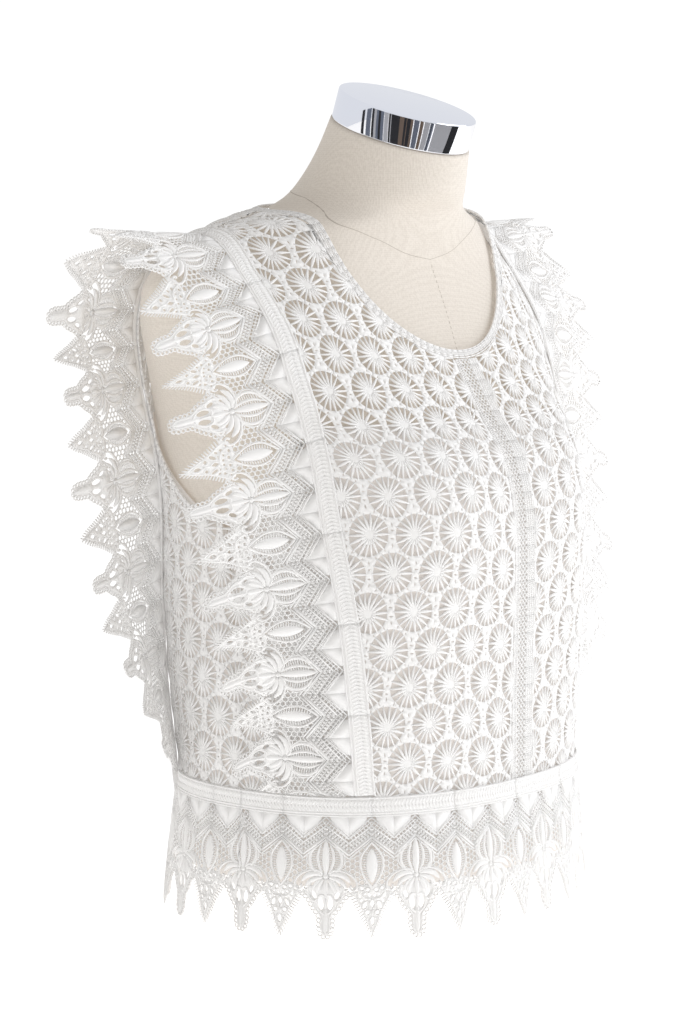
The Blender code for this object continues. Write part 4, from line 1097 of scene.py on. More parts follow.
def draw_border():
    """One whole repeat of the border, from half a repeat before the palmette's axis."""
    half = draw_zigzags()
    half.join(draw_palmette())
    half.join(draw_leaf())
    half.mirror(0.0)
    half.join(draw_braid(BORDER_REPEAT), (-BORDER_REPEAT / 2, 0, 0))
    draw_points(half)
    half.petal([(0, 52.6), (0, 45), (0, 36), (0, 28.9)], 5.2, 2.0, 17, 0.16, ribs=0.08)
    half.bead((0, 53.2), 2.5, 2.3, 10)
    half.petal([(0, 54.5), (0, 61), (0, 68.5)], 3.6, 1.9, 11, ribs=0.08)
    half.cord([(0, 66.5), (0, 76.5)], 1.3, 1.4)
    half.petal([(0, 74.5), (0, 84), (0, 93.0)], 3.6, 2.0, 15, 0.3, ribs=0.12)
    half.petal([(30, 34.4), (30, 45), (30, 57.0)], 8.2, 1.9, 15, 0.1, ribs=0.04)
    half.cord([(30, 74.4), (30, 79.4)], 1.6, 1.45)
    return half


# ------------------------------------------------------------------ materials

THREAD_RELIEF = 0.0003
FUZZ_SCALE = 900.0
TONE_SCALE = 38.0
LINEN_SCALE = 230.0
SLUB_SCALE = 620.0
LINEN_SHADES = ((0.5, (0.63, 0.58, 0.52)), (0.95, (0.73, 0.68, 0.62)))


def new_material(name):
    material = bpy.data.materials.new(name)
    material.use_nodes = True
    return material, material.node_tree.nodes["Principled BSDF"]


def set_sockets(node, **values):
    """Sets a node's sockets; an underscore stands for the space in a socket's name."""
    for name, value in values.items():
        node.inputs[name.replace("_", " ")].default_value = value


def math_step(tree, operation, *values):
    """One sum in a node tree, on numbers or on other nodes' outputs."""
    node = tree.nodes.new("ShaderNodeMath")
    node.operation = operation
    for socket, value in zip(node.inputs, values):
        if isinstance(value, bpy.types.NodeSocket):
            tree.links.new(value, socket)
        else:
            socket.default_value = value
    return node.outputs[0]


def place_on(tree, coordinate):
    return tree.nodes.new("ShaderNodeTexCoord").outputs[coordinate]


def noise(tree, place, scale, detail):
    node = tree.nodes.new("ShaderNodeTexNoise")
    set_sockets(node, Scale=scale, Detail=detail)
    tree.links.new(place, node.inputs["Vector"])
    return node.outputs["Fac"]


def ranged(tree, value, **limits):
    """A value stretched from one range to another."""
    node = tree.nodes.new("ShaderNodeMapRange")
    set_sockets(node, **limits)
    tree.links.new(value, node.inputs["Value"])
    return node.outputs["Result"]


def relief(tree, shader, height, strength):
    """Thread relief on a surface."""
    node = tree.nodes.new("ShaderNodeBump")
    set_sockets(node, Strength=strength, Distance=THREAD_RELIEF)
    tree.links.new(height, node.inputs["Height"])
    tree.links.new(node.outputs["Normal"], shader.inputs["Normal"])


def cloth_group(name):
    """Thread relief and slight unevenness of tone, for any spun cloth.

    Inputs: Vector, Pitch (threads per metre), Twist, Base, Shade. Outputs: Color, Height.
    """
    group = bpy.data.node_groups.new(name, "ShaderNodeTree")
    sockets = (("Vector", "INPUT", "NodeSocketVector"), ("Pitch", "INPUT", "NodeSocketFloat"),
               ("Twist", "INPUT", "NodeSocketFloat"), ("Base", "INPUT", "NodeSocketColor"),
               ("Shade", "INPUT", "NodeSocketColor"), ("Color", "OUTPUT", "NodeSocketColor"),
               ("Height", "OUTPUT", "NodeSocketFloat"))
    for label, way, kind in sockets:
        group.interface.new_socket(label, in_out=way, socket_type=kind)
    nodes, links = group.nodes, group.links
    given = nodes.new("NodeGroupInput").outputs
    result = nodes.new("NodeGroupOutput").inputs
    split = nodes.new("ShaderNodeSeparateXYZ")
    links.new(given["Vector"], split.inputs[0])
    slant = math_step(group, "MULTIPLY_ADD", split.outputs["X"], given["Twist"],
                      split.outputs["Y"])
    ply = math_step(group, "SINE", math_step(group, "MULTIPLY", slant, given["Pitch"]))
    place = place_on(group, "Object")
    fuzz = noise(group, place, FUZZ_SCALE, 2.0)
    links.new(math_step(group, "MULTIPLY_ADD", ply, 0.5, fuzz), result["Height"])
    tone = ranged(group, noise(group, place, TONE_SCALE, 3.0), From_Min=0.35, From_Max=0.75)
    mix = nodes.new("ShaderNodeMix")
    mix.data_type = "RGBA"
    links.new(tone, mix.inputs["Factor"])
    links.new(given["Base"], mix.inputs["A"])
    links.new(given["Shade"], mix.inputs["B"])
    links.new(mix.outputs["Result"], result["Color"])
    return group


def thread_material(name, group, base, shade, pitch, twist, bump, rough, sheen, coordinate="UV",
                    painted_glow=0.0):
    """Spun threads; the glow given is painted light: an even emission that lifts their shade, in
    place of the light that passes through fine white cotton.
    """
    material, shader = new_material(name)
    tree = material.node_tree
    # painted light: the emission below makes the cloth glow evenly, lifting its shade
    set_sockets(shader, Roughness=rough, Sheen_Weight=sheen, Sheen_Roughness=0.5,
                Specular_IOR_Level=0.25, Emission_Color=(1.0, 0.985, 0.965, 1),
                Emission_Strength=painted_glow)
    cloth = tree.nodes.new("ShaderNodeGroup")
    cloth.node_tree = group
    tree.links.new(place_on(tree, coordinate), cloth.inputs["Vector"])
    set_sockets(cloth, Pitch=pitch, Twist=twist, Base=base, Shade=shade)
    relief(tree, shader, cloth.outputs["Height"], bump)
    tree.links.new(cloth.outputs["Color"], shader.inputs["Base Color"])
    material.diffuse_color = base
    return material


def linen_material():
    """A plain woven cover: crossing threads of uneven thickness, with slubs."""
    material, shader = new_material("cream_linen_weave")
    tree = material.node_tree
    # painted light: a warm glow of 0.14 lifts the cover's shade, also where it shows through the
    # lace
    set_sockets(shader, Roughness=0.85, Sheen_Weight=0.25, Specular_IOR_Level=0.2,
                Emission_Color=(0.82, 0.73, 0.62, 1), Emission_Strength=0.14)
    place = place_on(tree, "Object")
    woven = 0.0
    for direction in ("X", "Y", "Z"):
        wave = tree.nodes.new("ShaderNodeTexWave")
        wave.bands_direction = direction
        set_sockets(wave, Scale=LINEN_SCALE, Distortion=2.5, Detail=1.0, Detail_Scale=4.0)
        tree.links.new(place, wave.inputs["Vector"])
        woven = math_step(tree, "ADD", woven, wave.outputs["Fac"])
    mixed = math_step(tree, "MULTIPLY_ADD", woven, 0.16, noise(tree, place, SLUB_SCALE, 3.0))
    ramp = tree.nodes.new("ShaderNodeValToRGB")
    for element, (position, shade) in zip(ramp.color_ramp.elements, LINEN_SHADES):
        element.position = position
        element.color = (*shade, 1)
    tree.links.new(mixed, ramp.inputs["Fac"])
    relief(tree, shader, mixed, 0.25)
    tree.links.new(ramp.outputs["Color"], shader.inputs["Base Color"])
    return material


def cap_material():
    """Polished metal with faint turning marks."""
    material, shader = new_material("polished_cap_metal")
    tree = material.node_tree
    set_sockets(shader, Base_Color=(0.88, 0.89, 0.93, 1), Metallic=1.0)
    marks = noise(tree, place_on(tree, "Object"), 60.0, 4.0)
    tree.links.new(ranged(tree, marks, To_Min=0.02, To_Max=0.06), shader.inputs["Roughness"])
    return material


threads = cloth_group("spun_cloth")
# The lace cotton's glow of 0.07 is painted light that lifts the lace's shade.
cotton = thread_material("white_lace_cotton", threads, (0.95, 0.945, 0.94, 1),
                         (0.93, 0.92, 0.91, 1), 9000.0, 0.9, 0.2, 0.85, 0.2, painted_glow=0.07)
# The lining's glow of 0.095 is painted light that lifts the shade of the lining seen through the
# lace's holes.
batiste = thread_material("white_lining_batiste", threads, (0.90, 0.855, 0.815, 1),
                          (0.88, 0.835, 0.795, 1), 9000.0, 0.0, 0.1, 0.75, 0.2, "Object", 0.095)
stitching = thread_material("seam_thread", threads, (0.56, 0.50, 0.43, 1), (0.50, 0.44, 0.38, 1),
                            6000.0, 0.9, 0.3, 0.8, 0.1)
linen = linen_material()
chrome = cap_material()

# ------------------------------------------------------------------ lace pieces


def mirrored_lace(name, world, drawn, past, sign, turned=False):
    """A lace piece on the wearer's left (sign 1) or right (-1) from points laid on the left.

    turned is for lace that is laid with its face inwards on the left.
    """
    world[:, 0] *= sign
    return lace_object(name, world, *drawn, past, cotton, (sign < 0) != turned)


def panel_piece(name, daisy, back, sign, inner):
    """A front panel, or one half of the back, as daisy ground."""
    top = (CLIMB[-1] + YOKES[back][1].max()) * 1000
    places = daisy_places((inner * 1000, PANEL_REACH), (0, top))
    points, drawn = laid_daisies(daisy, places)
    across = points[:, 0]
    ease = np.clip(1 - across / NECK_EASE[0], 0, 1) ** 2
    upward = points[:, 1] - (0 if back else NECK_EASE[1] * ease)
    angle, height, past = panel_place(across, upward, back, inner)
    world = lifted(angle, height, points[:, 2] + LACE_LIFT)
    if back:        # keeps the two layers apart where they meet over the shoulder
        world[:, 1] += np.where(np.abs(angle - math.pi / 2) < RIDGE_EASE[0], RIDGE_EASE[1], 0)
    return mirrored_lace(name, world, drawn, past, sign, back)


def side_piece(name, daisy, sign):
    places = daisy_places(SIDE_REACH, SIDE_CLIMB)
    points, drawn = laid_daisies(daisy, places)
    angle, height, past = side_place(points[:, 0], points[:, 1])
    world = lifted(angle, height, points[:, 2] + LACE_LIFT)
    return mirrored_lace(name, world, drawn, past, sign)


def strip_piece(name, border, side, sign):
    fitted = border.stretched((STRIP_REPEAT / BORDER_REPEAT, 1, 1))
    laid = STRIP_TOTAL - GATHER[-1, 1]
    count = int(laid * 1000 / STRIP_REPEAT) + 2
    places = [((k + STRIP_PHASE) * STRIP_REPEAT, 0.0) for k in range(-1, count)]
    points, *drawn = copies_of(fitted, places)
    points = points * MM
    along = np.clip(points[:, 0], 0, laid)
    past = np.abs(along - points[:, 0]) > TOUCH
    world = strip_place(side, along, points[:, 1], points[:, 2])
    return mirrored_lace(name, world, drawn, past, sign, True)


def hem_piece(name, border, start):
    total = HEM_REPEATS * BORDER_REPEAT * MM
    places = [((k + HEM_PHASE) * BORDER_REPEAT, 0.0) for k in range(-HEM_REPEATS, HEM_REPEATS + 2)]
    spare = BORDER_REPEAT / 2 + 1
    places = [p for p in places
              if start * 1000 - spare < p[0] < (start + total / 2) * 1000 + spare]
    points, *drawn = copies_of(border, places)
    points = points * MM
    along = np.clip(points[:, 0], start + SEAM_GAP / 2, start + total / 2 - SEAM_GAP / 2)
    past = np.abs(along - points[:, 0]) > TOUCH
    world = hem_place(along, points[:, 1], points[:, 2])
    return lace_object(name, world, *drawn, past, cotton)


def join_pieces(name, pieces):
    select_only(*pieces)
    bpy.ops.object.join()
    pieces[0].name = name
    return pieces[0]


INSERTION_REPEAT = 12.0


def draw_insertion():
    """A length of the centre front band, seen with the wearer's left at +x."""
    lace = Lace()
    for x, width in ((-10.9, 1.3), (-7.2, 1.3), (4.2, 1.3), (6.6, 1.3), (8.8, 1.3), (11.0, 1.1)):
        lace.rail(INSERTION_REPEAT, 4, x, width, upright=True)
    for k in range(8):
        y = k * 1.5
        lace.cord([(-10.6, y), (-7.4, y + 1.6)], 1.05, 1.2)
        for start, end in (((4.6, y + 1.2), (6.4, y)), ((6.9, y), (8.6, y + 1.2)),
                           ((9.0, y + 1.2), (10.8, y))):
            lace.cord([start, end], 0.9, 1.1)
    for y in (0.0, 4.0, 8.0):
        for start in (-6.8, -3.1, 0.6):
            end = start + 3.7
            lace.cord([(start, y), (end, y + 4.0)], 0.85, 1.1)
            lace.cord([(end, y), (start, y + 4.0)], 0.85, 1.0)
        for place in ((-3.1, y + 4.0), (-3.1 - 1.85, y + 2.0), (0.6, y + 4.0),
                      (0.6 - 1.85, y + 2.0), (2.45, y + 2.0)):
            lace.bead(place, 0.8, 1.35)
    return lace


def insertion_piece():
    levels = np.linspace(PANEL_FOOT, NECK_FRONT_HEIGHT, INSERTION_SAMPLES)
    climb = lengths_along(body_point(np.zeros(INSERTION_SAMPLES), levels))
    count = int(climb[-1] * 1000 / INSERTION_REPEAT) + 1
    places = [(0.0, k * INSERTION_REPEAT) for k in range(count)]
    points, *drawn = copies_of(draw_insertion(), places)
    points = points * MM
    past = points[:, 1] > climb[-1]
    height = np.interp(points[:, 1], climb, levels)
    low = np.minimum(height, CHEST)
    half = np.abs(points[:, 0])
    angle = np.where(height <= CHEST, arc_angle(low, half),
                     angle_at_x(np.abs(body_point(arc_angle(np.full(len(half), CHEST), half),
                                                  CHEST)[:, 0]), height))
    world = lifted(np.sign(points[:, 0]) * angle, height, points[:, 2] + LACE_LIFT)
    return lace_object("insertion_lace", world, *drawn, past, cotton)


def neck_line(grow):
    """The whole neck edge, moved towards the neck by grow: its angles and heights."""
    turn = np.linspace(0, math.pi / 2, NECK_SAMPLES)
    x = (NECK_HALF_WIDTH - grow) * np.sin(turn)
    top = float(ridge_height(NECK_HALF_WIDTH - grow))
    angles, heights = [], []
    for back in (False, True):
        low = (NECK_BACK_HEIGHT if back else NECK_FRONT_HEIGHT) + grow
        height = top - (top - low) * np.cos(turn)
        angle = angle_at_x(x, height, back)
        angle[-1] = math.pi / 2
        angles.append(angle)
        heights.append(height)
    angle = np.concatenate((angles[0], angles[1][-2::-1]))
    height = np.concatenate((heights[0], heights[1][-2::-1]))
    return (np.concatenate((angle, -angle[-2:0:-1])), np.concatenate((height, height[-2:0:-1])))


def edging_surface(loops):
    """Point and normal grids through closed loops of angles and heights, given outermost first."""
    grid, normals = [], []
    for angle, height in loops:
        points = body_point(angle, height)
        points = np.concatenate((points, points[:1]))
        facing = body_normal(angle, height)
        facing = np.concatenate((facing, facing[:1]))
        share = lengths_along(points)
        at = np.linspace(0, share[-1], EDGING_SAMPLES)
        grid.append(resampled(at, share, points))
        normals.append(resampled(at, share, facing))
    length = float(lengths_along(grid[0])[-1])
    return np.stack(grid, axis=1), unit(np.stack(normals, axis=1)), length


def edging_piece(name, loops, edging, size, sign=1):
    width, step = size
    grid, normals, length = edging_surface(loops)
    count = int(round(length * 1000 / step))
    fit = length * 1000 / (count * step)
    points, *drawn = copies_of(edging, [(k * step, 0.0) for k in range(count)])
    row = (points[:, 0] * fit * MM / length % 1.0) * (len(grid) - 1)
    column = np.clip(points[:, 1] / width, 0, 1) * (grid.shape[1] - 1)
    world = grid_value(grid, row, column)
    world += unit(grid_value(normals, row, column)) * (points[:, 2:] * MM + LACE_LIFT)
    return mirrored_lace(name, world, drawn, np.zeros(len(world), dtype=bool), sign)


NECK_EDGING = (6.0, 6.4)        # its width and the length of one repeat, in millimetres
ARM_EDGING = (3.0, 5.0)
NECK_LOOPS = (0.0004, 0.0032, 0.0060)       # how far into the opening the edgings' loops lie
ARM_LOOPS = (0.0005, 0.0035)


def draw_neck_edging():
    lace = Lace()
    step = NECK_EDGING[1]
    for y, width in ((0.55, 1.1), (1.9, 1.0), (4.6, 1.0), (5.6, 0.9)):
        lace.rail(step, 3, y, width)
    for k in range(4):
        x = k * 1.6
        lace.cord([(x, 2.0), (x + 0.8, 4.4)], 0.75, 1.2)
        lace.cord([(x + 1.6, 2.0), (x + 0.8, 4.4)], 0.75, 1.1)
    return lace


def draw_arm_edging():
    lace = Lace()
    for y in (0.55, 2.6):
        lace.rail(ARM_EDGING[1], 3, y, 1.05)
    for k in range(4):
        x = k * 1.25
        lace.cord([(x, 0.7), (x + 1.0, 2.5)], 0.8, 1.35)
    return lace


def arm_line(inset):
    """The armhole edge on the wearer's left, moved into the opening by inset."""
    shares = np.linspace(0, 1, ARM_SAMPLES)
    height = armhole_height(shares) + inset
    front = seam_arc(height) + inset
    back = seam_arc(height, True) - inset
    low_angle = arc_angle(height, front + (back - front) * shares)
    top = float(ridge_height(seam_ridge()[0] + inset))
    rising = []
    for start, is_back in ((height[0], False), (height[-1], True)):
        h = start + (top - start) * slowing(ARM_SAMPLES)[1:]
        rising.append((angle_at_x(np.minimum(seam_x(h, is_back) + inset,
                                             ring_value("half_width", h)), h, is_back), h))
    angle = np.concatenate((rising[0][0][::-1], low_angle, rising[1][0][:-1]))
    heights = np.concatenate((rising[0][1][::-1], height, rising[1][1][:-1]))
    return angle, heights


daisy_drawing = draw_daisy()
border_drawing = draw_border()

front_inner = INSERTION_HALF + SEAM_GAP
lace_front_left = panel_piece("lace_front_left", daisy_drawing, False, 1, front_inner)
lace_front_right = panel_piece("lace_front_right", daisy_drawing, False, -1, front_inner)
lace_back = join_pieces("lace_back", [
    panel_piece("lace_back_half_left", daisy_drawing, True, 1, 0.0),
    panel_piece("lace_back_half_right", daisy_drawing, True, -1, 0.0)])
lace_side_left = side_piece("lace_side_left", daisy_drawing, 1)
lace_side_right = side_piece("lace_side_right", daisy_drawing, -1)
insertion_lace = insertion_piece()
border_lace_left = strip_piece("border_lace_left", border_drawing, "left", 1)
border_lace_right = strip_piece("border_lace_right", border_drawing, "right", -1)
quarter = HEM_REPEATS * BORDER_REPEAT * MM / 4
hem_lace_front = hem_piece("hem_lace_front", border_drawing, -quarter)
hem_lace_back = hem_piece("hem_lace_back", border_drawing, quarter)
neck_edging = edging_piece("neck_edging", [neck_line(grow) for grow in NECK_LOOPS],
                           draw_neck_edging(), NECK_EDGING)
arm_loops = [arm_line(inset) for inset in ARM_LOOPS]
arm_drawing = draw_arm_edging()
armhole_edging_left = edging_piece("armhole_edging_left", arm_loops, arm_drawing, ARM_EDGING)
armhole_edging_right = edging_piece("armhole_edging_right", arm_loops, arm_drawing, ARM_EDGING, -1)

# ------------------------------------------------------------------ lining, form and stand


def grid_object(name, points, material, round_columns=False, thickness=0.0):
    """A smooth sheet through a grid of points, its faces turned outwards."""
    columns, rows = points.shape[:2]
    i = np.arange(columns if round_columns else columns - 1)[:, None]
    j = np.arange(rows - 1)[None, :]
    after = (i + 1) % columns
    quads = np.stack((i * rows + j, after * rows + j, after * rows + j + 1, i * rows + j + 1),
                     axis=-1).reshape(-1, 4)
    mesh = bpy.data.meshes.new(name)
    mesh.from_pydata(points.reshape(-1, 3).tolist(), [], quads.tolist())
    shade_smooth(mesh)
    mesh.materials.append(material)
    piece = placed(name, mesh)
    if thickness:
        wall = piece.modifiers.new("cloth_thickness", "SOLIDIFY")
        wall.thickness = thickness
        wall.offset = 1.0
    return piece


def lining_cloth(name, back):
    turns = np.linspace(-1, 1, LINING_COLUMNS) * (math.pi / 2 - LINING_GAP)
    points = np.zeros((LINING_COLUMNS, LINING_ROWS, 3))
    seam = float(angle_at_x(seam_x(CHEST, back), CHEST, back))
    seam_mid = math.pi - seam if back else seam
    turn = seam_mid * LINING_TURN
    low = ARMHOLE_LOW - LINING_DROP
    for i, mid_angle in enumerate(turns):
        share = np.clip((abs(mid_angle) - turn) / (math.pi / 2 - turn), 0, 1)
        top = CHEST + (low - CHEST) * share ** LINING_POWER
        heights = LINING_FOOT + (top - LINING_FOOT) * np.linspace(0, 1, LINING_ROWS)
        angle = math.copysign(math.pi - abs(mid_angle), mid_angle) if back else mid_angle
        loose = np.clip((CHEST - heights) / CREASE_DEPTH, 0, 1)
        crease = sum(size * np.sin(mid_angle * around + heights * up + start) * loose
                     for size, around, up, start in LINING_CREASES)
        points[i] = lifted(np.full(LINING_ROWS, angle), heights,
                           LINING_LIFT - LINING_SINK + crease * CREASE_SHARE)
    if back:
        points = points[::-1]
    return grid_object(name, points, batiste, thickness=LINING_THICKNESS)


def form_body():
    """The padded linen form, from its foot to the slanting top of its neck."""
    heights = np.concatenate([np.linspace(*rows) for rows in FORM_ROWS])
    turns = np.arange(FORM_COLUMNS) * math.tau / FORM_COLUMNS - math.pi
    angle, height = np.meshgrid(turns, heights, indexing="ij")
    lift = -ring_value("inset", height)
    points = lifted(angle, height, lift)
    points[:, 0, 2] = FORM_FOOT
    piece = grid_object("form_body", points, linen, round_columns=True)
    select_only(piece)
    bpy.ops.object.mode_set(mode="EDIT")
    bpy.ops.mesh.select_all(action="DESELECT")
    bpy.ops.mesh.select_non_manifold()
    bpy.ops.mesh.edge_face_add()
    bpy.ops.mesh.select_all(action="SELECT")
    bpy.ops.mesh.normals_make_consistent(inside=False)
    bpy.ops.object.mode_set(mode="OBJECT")
    return piece


def finished_primitive(name, material, rounding):
    """Puts a new primitive's place into its mesh, rounds its rims and gives it its finish."""
    piece = bpy.context.active_object
    piece.name = name
    piece.data.name = name
    bpy.ops.object.transform_apply(location=True, rotation=True, scale=True)
    piece.data.materials.append(material)
    rim = piece.modifiers.new("rounded_rim", "BEVEL")
    rim.width = rounding
    rim.segments = 4
    rim.limit_method = "ANGLE"
    bpy.ops.object.modifier_apply(modifier=rim.name)
    bpy.ops.object.shade_smooth_by_angle(angle=math.radians(SHARP_EDGE))
    return piece


def neck_cap():
    top = dict(zip(RING_COLUMNS, BODY_RINGS[-1]))
    tilt = math.radians(top["tilt"])
    mid_y = (top["front_y"] + top["back_y"]) / 2
    axis = Matrix.Rotation(tilt, 4, "X") @ Vector((0, 0, 1))
    seat = Vector((0, mid_y, top["height"] + math.tan(tilt) * (mid_y - top["side_y"])))
    middle = seat + axis * (SEAM_GAP + CAP_HEIGHT / 2)
    select_only()
    bpy.ops.mesh.primitive_cylinder_add(vertices=128, radius=CAP_RADIUS, depth=CAP_HEIGHT,
                                        location=middle, rotation=(tilt, 0, 0))
    return finished_primitive("form_cap", chrome, CAP_ROUNDING)


def stand_base():
    select_only()
    bpy.ops.mesh.primitive_cylinder_add(vertices=96, radius=1.0, depth=1.0,
                                        location=(0, 0, BASE_HEIGHT / 2))
    bpy.context.active_object.scale = (BASE_HALF_WIDTH, BASE_HALF_DEPTH, BASE_HEIGHT)
    return finished_primitive("form_stand", pale_linen, BASE_ROUNDING)


NECK_SEAM_COLUMNS = ("degrees", "height")      # from the centre front round to the back
NECK_SEAM = np.array((
    (0.0, 0.4545), (8.0, 0.4585), (20.0, 0.4690), (40.0, 0.4810), (60.0, 0.4885), (80.0, 0.4940),
    (100.0, 0.4975), (140.0, 0.4995), (180.0, 0.5000),
))
SEAM_CORD = ((-0.00045, -0.0004), (0.0, 0.0002), (0.00045, -0.0004))    # offset up, rise
STITCH_FOOT = 0.388
STITCH_STEP = 0.0034
STITCH_LENGTH = 0.0019
STITCHES = 19
STITCH_BOW = 0.005              # how far the row bows from the middle, over its whole reach
STITCH_REACH = 0.067
STITCH_CORD = ((-0.0003, -0.0003), (0.0, 0.00025), (0.0003, -0.0003))   # offset across, rise
SEAM_STEPS = 144


def seam_stitches():
    """The neck seam's cord and the centre front's stitches on the form."""
    world, quads, thread = [], [], []
    for k in range(SEAM_STEPS):
        turn = math.tau * k / SEAM_STEPS - math.pi
        level = float(table_value(NECK_SEAM, NECK_SEAM_COLUMNS, "height", abs(math.degrees(turn))))
        for step, (offset, rise) in enumerate(SEAM_CORD):
            height = level + offset
            world.append(lifted(turn, height, rise - float(ring_value("inset", height))))
            thread.append((step, k * 4.0))
    for k in range(SEAM_STEPS):
        after = (k + 1) % SEAM_STEPS
        for j in range(3):
            quads.append((k * 3 + j, after * 3 + j, after * 3 + (j + 1) % 3, k * 3 + (j + 1) % 3))
    tris = []
    for height in STITCH_FOOT + STITCH_STEP * np.arange(STITCHES):
        start = len(world)
        middle = STITCH_BOW * math.sin(math.pi * (height - STITCH_FOOT) / STITCH_REACH)
        for h in (height, height + STITCH_LENGTH):
            for x, rise in STITCH_CORD:
                angle = float(angle_at_x(middle + x, h))
                world.append(lifted(angle, h, rise - float(ring_value("inset", h))))
                thread.append((x * 1000, h * 1000))
        for j in range(3):
            quads.append((start + j, start + (j + 1) % 3, start + 3 + (j + 1) % 3, start + 3 + j))
        tris += [(start + 2, start + 1, start), (start + 3, start + 4, start + 5)]
    world = np.array(world).reshape(-1, 3)
    return lace_object("form_seams", world, np.array(thread), np.array(quads), np.array(tris),
                       np.zeros(len(world), dtype=bool), stitching)


# The stand cover's glow of 0.45 is painted light that lifts the shade under the hem.
pale_linen = thread_material("pale_stand_cover", threads, (0.94, 0.935, 0.93, 1),
                             (0.92, 0.915, 0.905, 1), 3000.0, 0.0, 0.2, 0.85, 0.0, "Object", 0.45)
lining_front_cloth = lining_cloth("lining_cloth_front", False)
lining_back_cloth = lining_cloth("lining_cloth_back", True)
body = form_body()
cap = neck_cap()
stand = stand_base()
seams = seam_stitches()

# ------------------------------------------------------------------ what each piece stands for

STANDS_FOR = {
    "white_lace": (
        (lace_front_left, "front_panel_left"), (lace_front_right, "front_panel_right"),
        (lace_back, "back_panel"), (lace_side_left, "side_panel_left"),
        (lace_side_right, "side_panel_right"), (insertion_lace, "front_insertion"),
        (border_lace_left, "border_strip_left"), (border_lace_right, "border_strip_right"),
        (hem_lace_front, "hem_border_front"), (hem_lace_back, "hem_border_back"),
        (neck_edging, "neck_binding"), (armhole_edging_left, "armhole_binding_left"),
        (armhole_edging_right, "armhole_binding_right")),
    "white_lining": ((lining_front_cloth, "lining_front"), (lining_back_cloth, "lining_back")),
    "cream_linen": ((body, "form_torso"), (stand, "form_base")),
    "polished_cap": ((cap, "form_neck_cap"),),
}
for slot, pairs in STANDS_FOR.items():
    for piece, node in pairs:
        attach(piece, "root")
        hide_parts(node)
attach(seams, "root")

# ------------------------------------------------------------------ studio and camera


FLOOR_RADIUS = 14.0
FLOOR_GLOW = 0.62
FLATS_GLOW = 0.5
WORLD_SEEN = ((1, 1, 1, 1), 1.05)       # colour and strength
WORLD_LIGHT = ((1.0, 0.975, 0.945, 1), 0.48)
WORLD_MIRRORED = ((0.93, 0.95, 1.0, 1), 0.84)
KEY_PLACE = (1.75, -1.75, 1.75)
KEY_TARGET = (0, 0, 0.3)
KEY_SIZE = 2.4
KEY_POWER = 42.5
KEY_COLOUR = (0.92, 0.95, 1.0)
CAMERA_AZIMUTH = -52.0
CAMERA_ELEVATION = 6.6
CAMERA_DISTANCE = 2.3
CAMERA_AIM = (-0.021, 0.278)    # to the camera's right of the origin, and up
CAMERA_LENS = 115.86
CAMERA_SENSOR = 36.0


def pale_floor():
    material, shader = new_material("pale_floor")
    set_sockets(shader, Base_Color=(0.93, 0.93, 0.93, 1), Roughness=0.9, Specular_IOR_Level=0.0,
                Emission_Color=(1, 1, 1, 1), Emission_Strength=FLOOR_GLOW)
    select_only()
    bpy.ops.mesh.primitive_circle_add(vertices=64, radius=FLOOR_RADIUS, fill_type="NGON")
    floor = bpy.context.active_object
    floor.name = "studio_floor"
    floor.data.materials.append(material)


CAP_SHADES = ((0.02, 0.02, 0.022), (0.10, 0.075, 0.06), (0.09, 0.10, 0.125), (0.26, 0.26, 0.27),
              (0.62, 0.62, 0.66))
CAP_STRIPES = (     # across the cap as the camera sees it, from -1 to 1, and the shade
    (-0.58, -0.545, 0), (-0.52, -0.46, 2), (-0.45, -0.42, 0), (-0.42, -0.39, 3), (-0.39, -0.29, 2),
    (-0.285, -0.23, 3), (-0.225, -0.08, 0), (-0.08, -0.02, 1), (-0.02, 0.07, 0), (0.07, 0.105, 1),
    (0.115, 0.19, 2), (0.20, 0.25, 1), (0.26, 0.34, 3), (0.345, 0.395, 2), (0.41, 0.65, 3),
    (0.65, 0.75, 0), (-0.36, -0.33, 0), (-0.2, -0.19, 3), (0.01, 0.02, 1), (0.36, 0.37, 0),
)
CAP_Y = -0.017
FLATS_RADIUS = 0.72
FLATS_STEP = 0.004
FLATS_FOOT = 0.02
FLATS_TOP = 0.62


def striped_screen(azimuth):
    """Dark studio flats round the cap, which show only as stripes reflected in it."""
    material, shader = new_material("studio_flats")
    shade = material.node_tree.nodes.new("ShaderNodeAttribute")
    shade.attribute_name = "shade"
    for socket in ("Base Color", "Emission Color"):
        material.node_tree.links.new(shade.outputs["Color"], shader.inputs[socket])
    set_sockets(shader, Emission_Strength=FLATS_GLOW, Specular_IOR_Level=0.0)
    points, faces, shades = [], [], []
    for order, (start, end, tone) in enumerate(CAP_STRIPES):
        radius = FLATS_RADIUS - FLATS_STEP * order
        for share in (start, end):
            turn = math.radians(azimuth) + 2 * math.asin(share)
            x, y = radius * math.sin(turn), CAP_Y - radius * math.cos(turn)
            points += [(x, y, FLATS_FOOT), (x, y, FLATS_TOP)]
        k = 4 * order
        faces.append((k, k + 2, k + 3, k + 1))
        shades += [(*CAP_SHADES[tone], 1.0)] * 4
    mesh = bpy.data.meshes.new("studio_flats")
    mesh.from_pydata(points, [], faces)
    layer = mesh.color_attributes.new("shade", "FLOAT_COLOR", "CORNER")
    layer.data.foreach_set("color", [value for colour in shades for value in colour])
    mesh.materials.append(material)
    screen = placed("studio_flats", mesh)
    screen.visible_camera = False
    screen.visible_diffuse = False
    screen.visible_shadow = False
    screen.visible_transmission = False


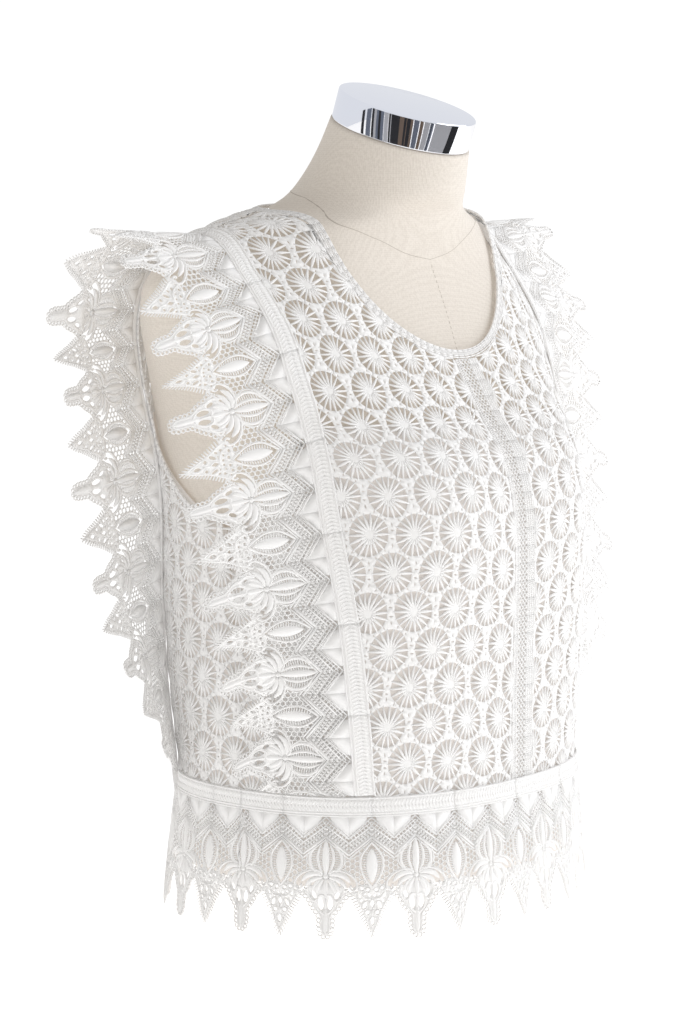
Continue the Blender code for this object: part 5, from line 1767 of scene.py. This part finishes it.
def key_light():
    data = bpy.data.lights.new("key_light", "AREA")
    data.shape = "DISK"
    data.size = KEY_SIZE
    data.energy = KEY_POWER
    data.color = KEY_COLOUR
    light = placed("key_light", data)
    light.location = KEY_PLACE
    ahead = Vector(KEY_TARGET) - Vector(KEY_PLACE)
    light.rotation_euler = ahead.to_track_quat("-Z", "Y").to_euler()


def white_world():
    world = bpy.data.worlds.new("white_studio")
    bpy.context.scene.world = world
    world.use_nodes = True
    nodes, links = world.node_tree.nodes, world.node_tree.links
    seen, soft, mirrored = (nodes["Background"], nodes.new("ShaderNodeBackground"),
                            nodes.new("ShaderNodeBackground"))
    for shade, (colour, strength) in ((seen, WORLD_SEEN), (soft, WORLD_LIGHT),
                                      (mirrored, WORLD_MIRRORED)):
        set_sockets(shade, Color=colour, Strength=strength)
    path = nodes.new("ShaderNodeLightPath")
    light = soft.outputs[0]
    for ray, other in (("Is Glossy Ray", mirrored), ("Is Camera Ray", seen)):
        mix = nodes.new("ShaderNodeMixShader")
        links.new(path.outputs[ray], mix.inputs["Fac"])
        links.new(light, mix.inputs[1])
        links.new(other.outputs[0], mix.inputs[2])
        light = mix.outputs[0]
    links.new(light, nodes["World Output"].inputs["Surface"])


def front_camera():
    azimuth, elevation = math.radians(CAMERA_AZIMUTH), math.radians(CAMERA_ELEVATION)
    back = Vector((math.sin(azimuth) * math.cos(elevation),
                   -math.cos(azimuth) * math.cos(elevation), math.sin(elevation)))
    right = Vector((math.cos(azimuth), math.sin(azimuth), 0))
    data = bpy.data.cameras.new("camera")
    data.lens = CAMERA_LENS
    data.sensor_width = CAMERA_SENSOR
    camera = placed("camera", data)
    aim = right * CAMERA_AIM[0] + Vector((0, 0, CAMERA_AIM[1]))
    camera.location = aim + back * CAMERA_DISTANCE
    up = back.cross(right)
    camera.matrix_world = Matrix.Translation(camera.location) @ Matrix(
        (right, up, back)).transposed().to_4x4()
    bpy.context.scene.camera = camera


pale_floor()
white_world()
front_camera()
key_light()
striped_screen(CAMERA_AZIMUTH)
bpy.context.scene.view_settings.view_transform = "Standard"
bpy.context.scene.view_settings.look = "None"
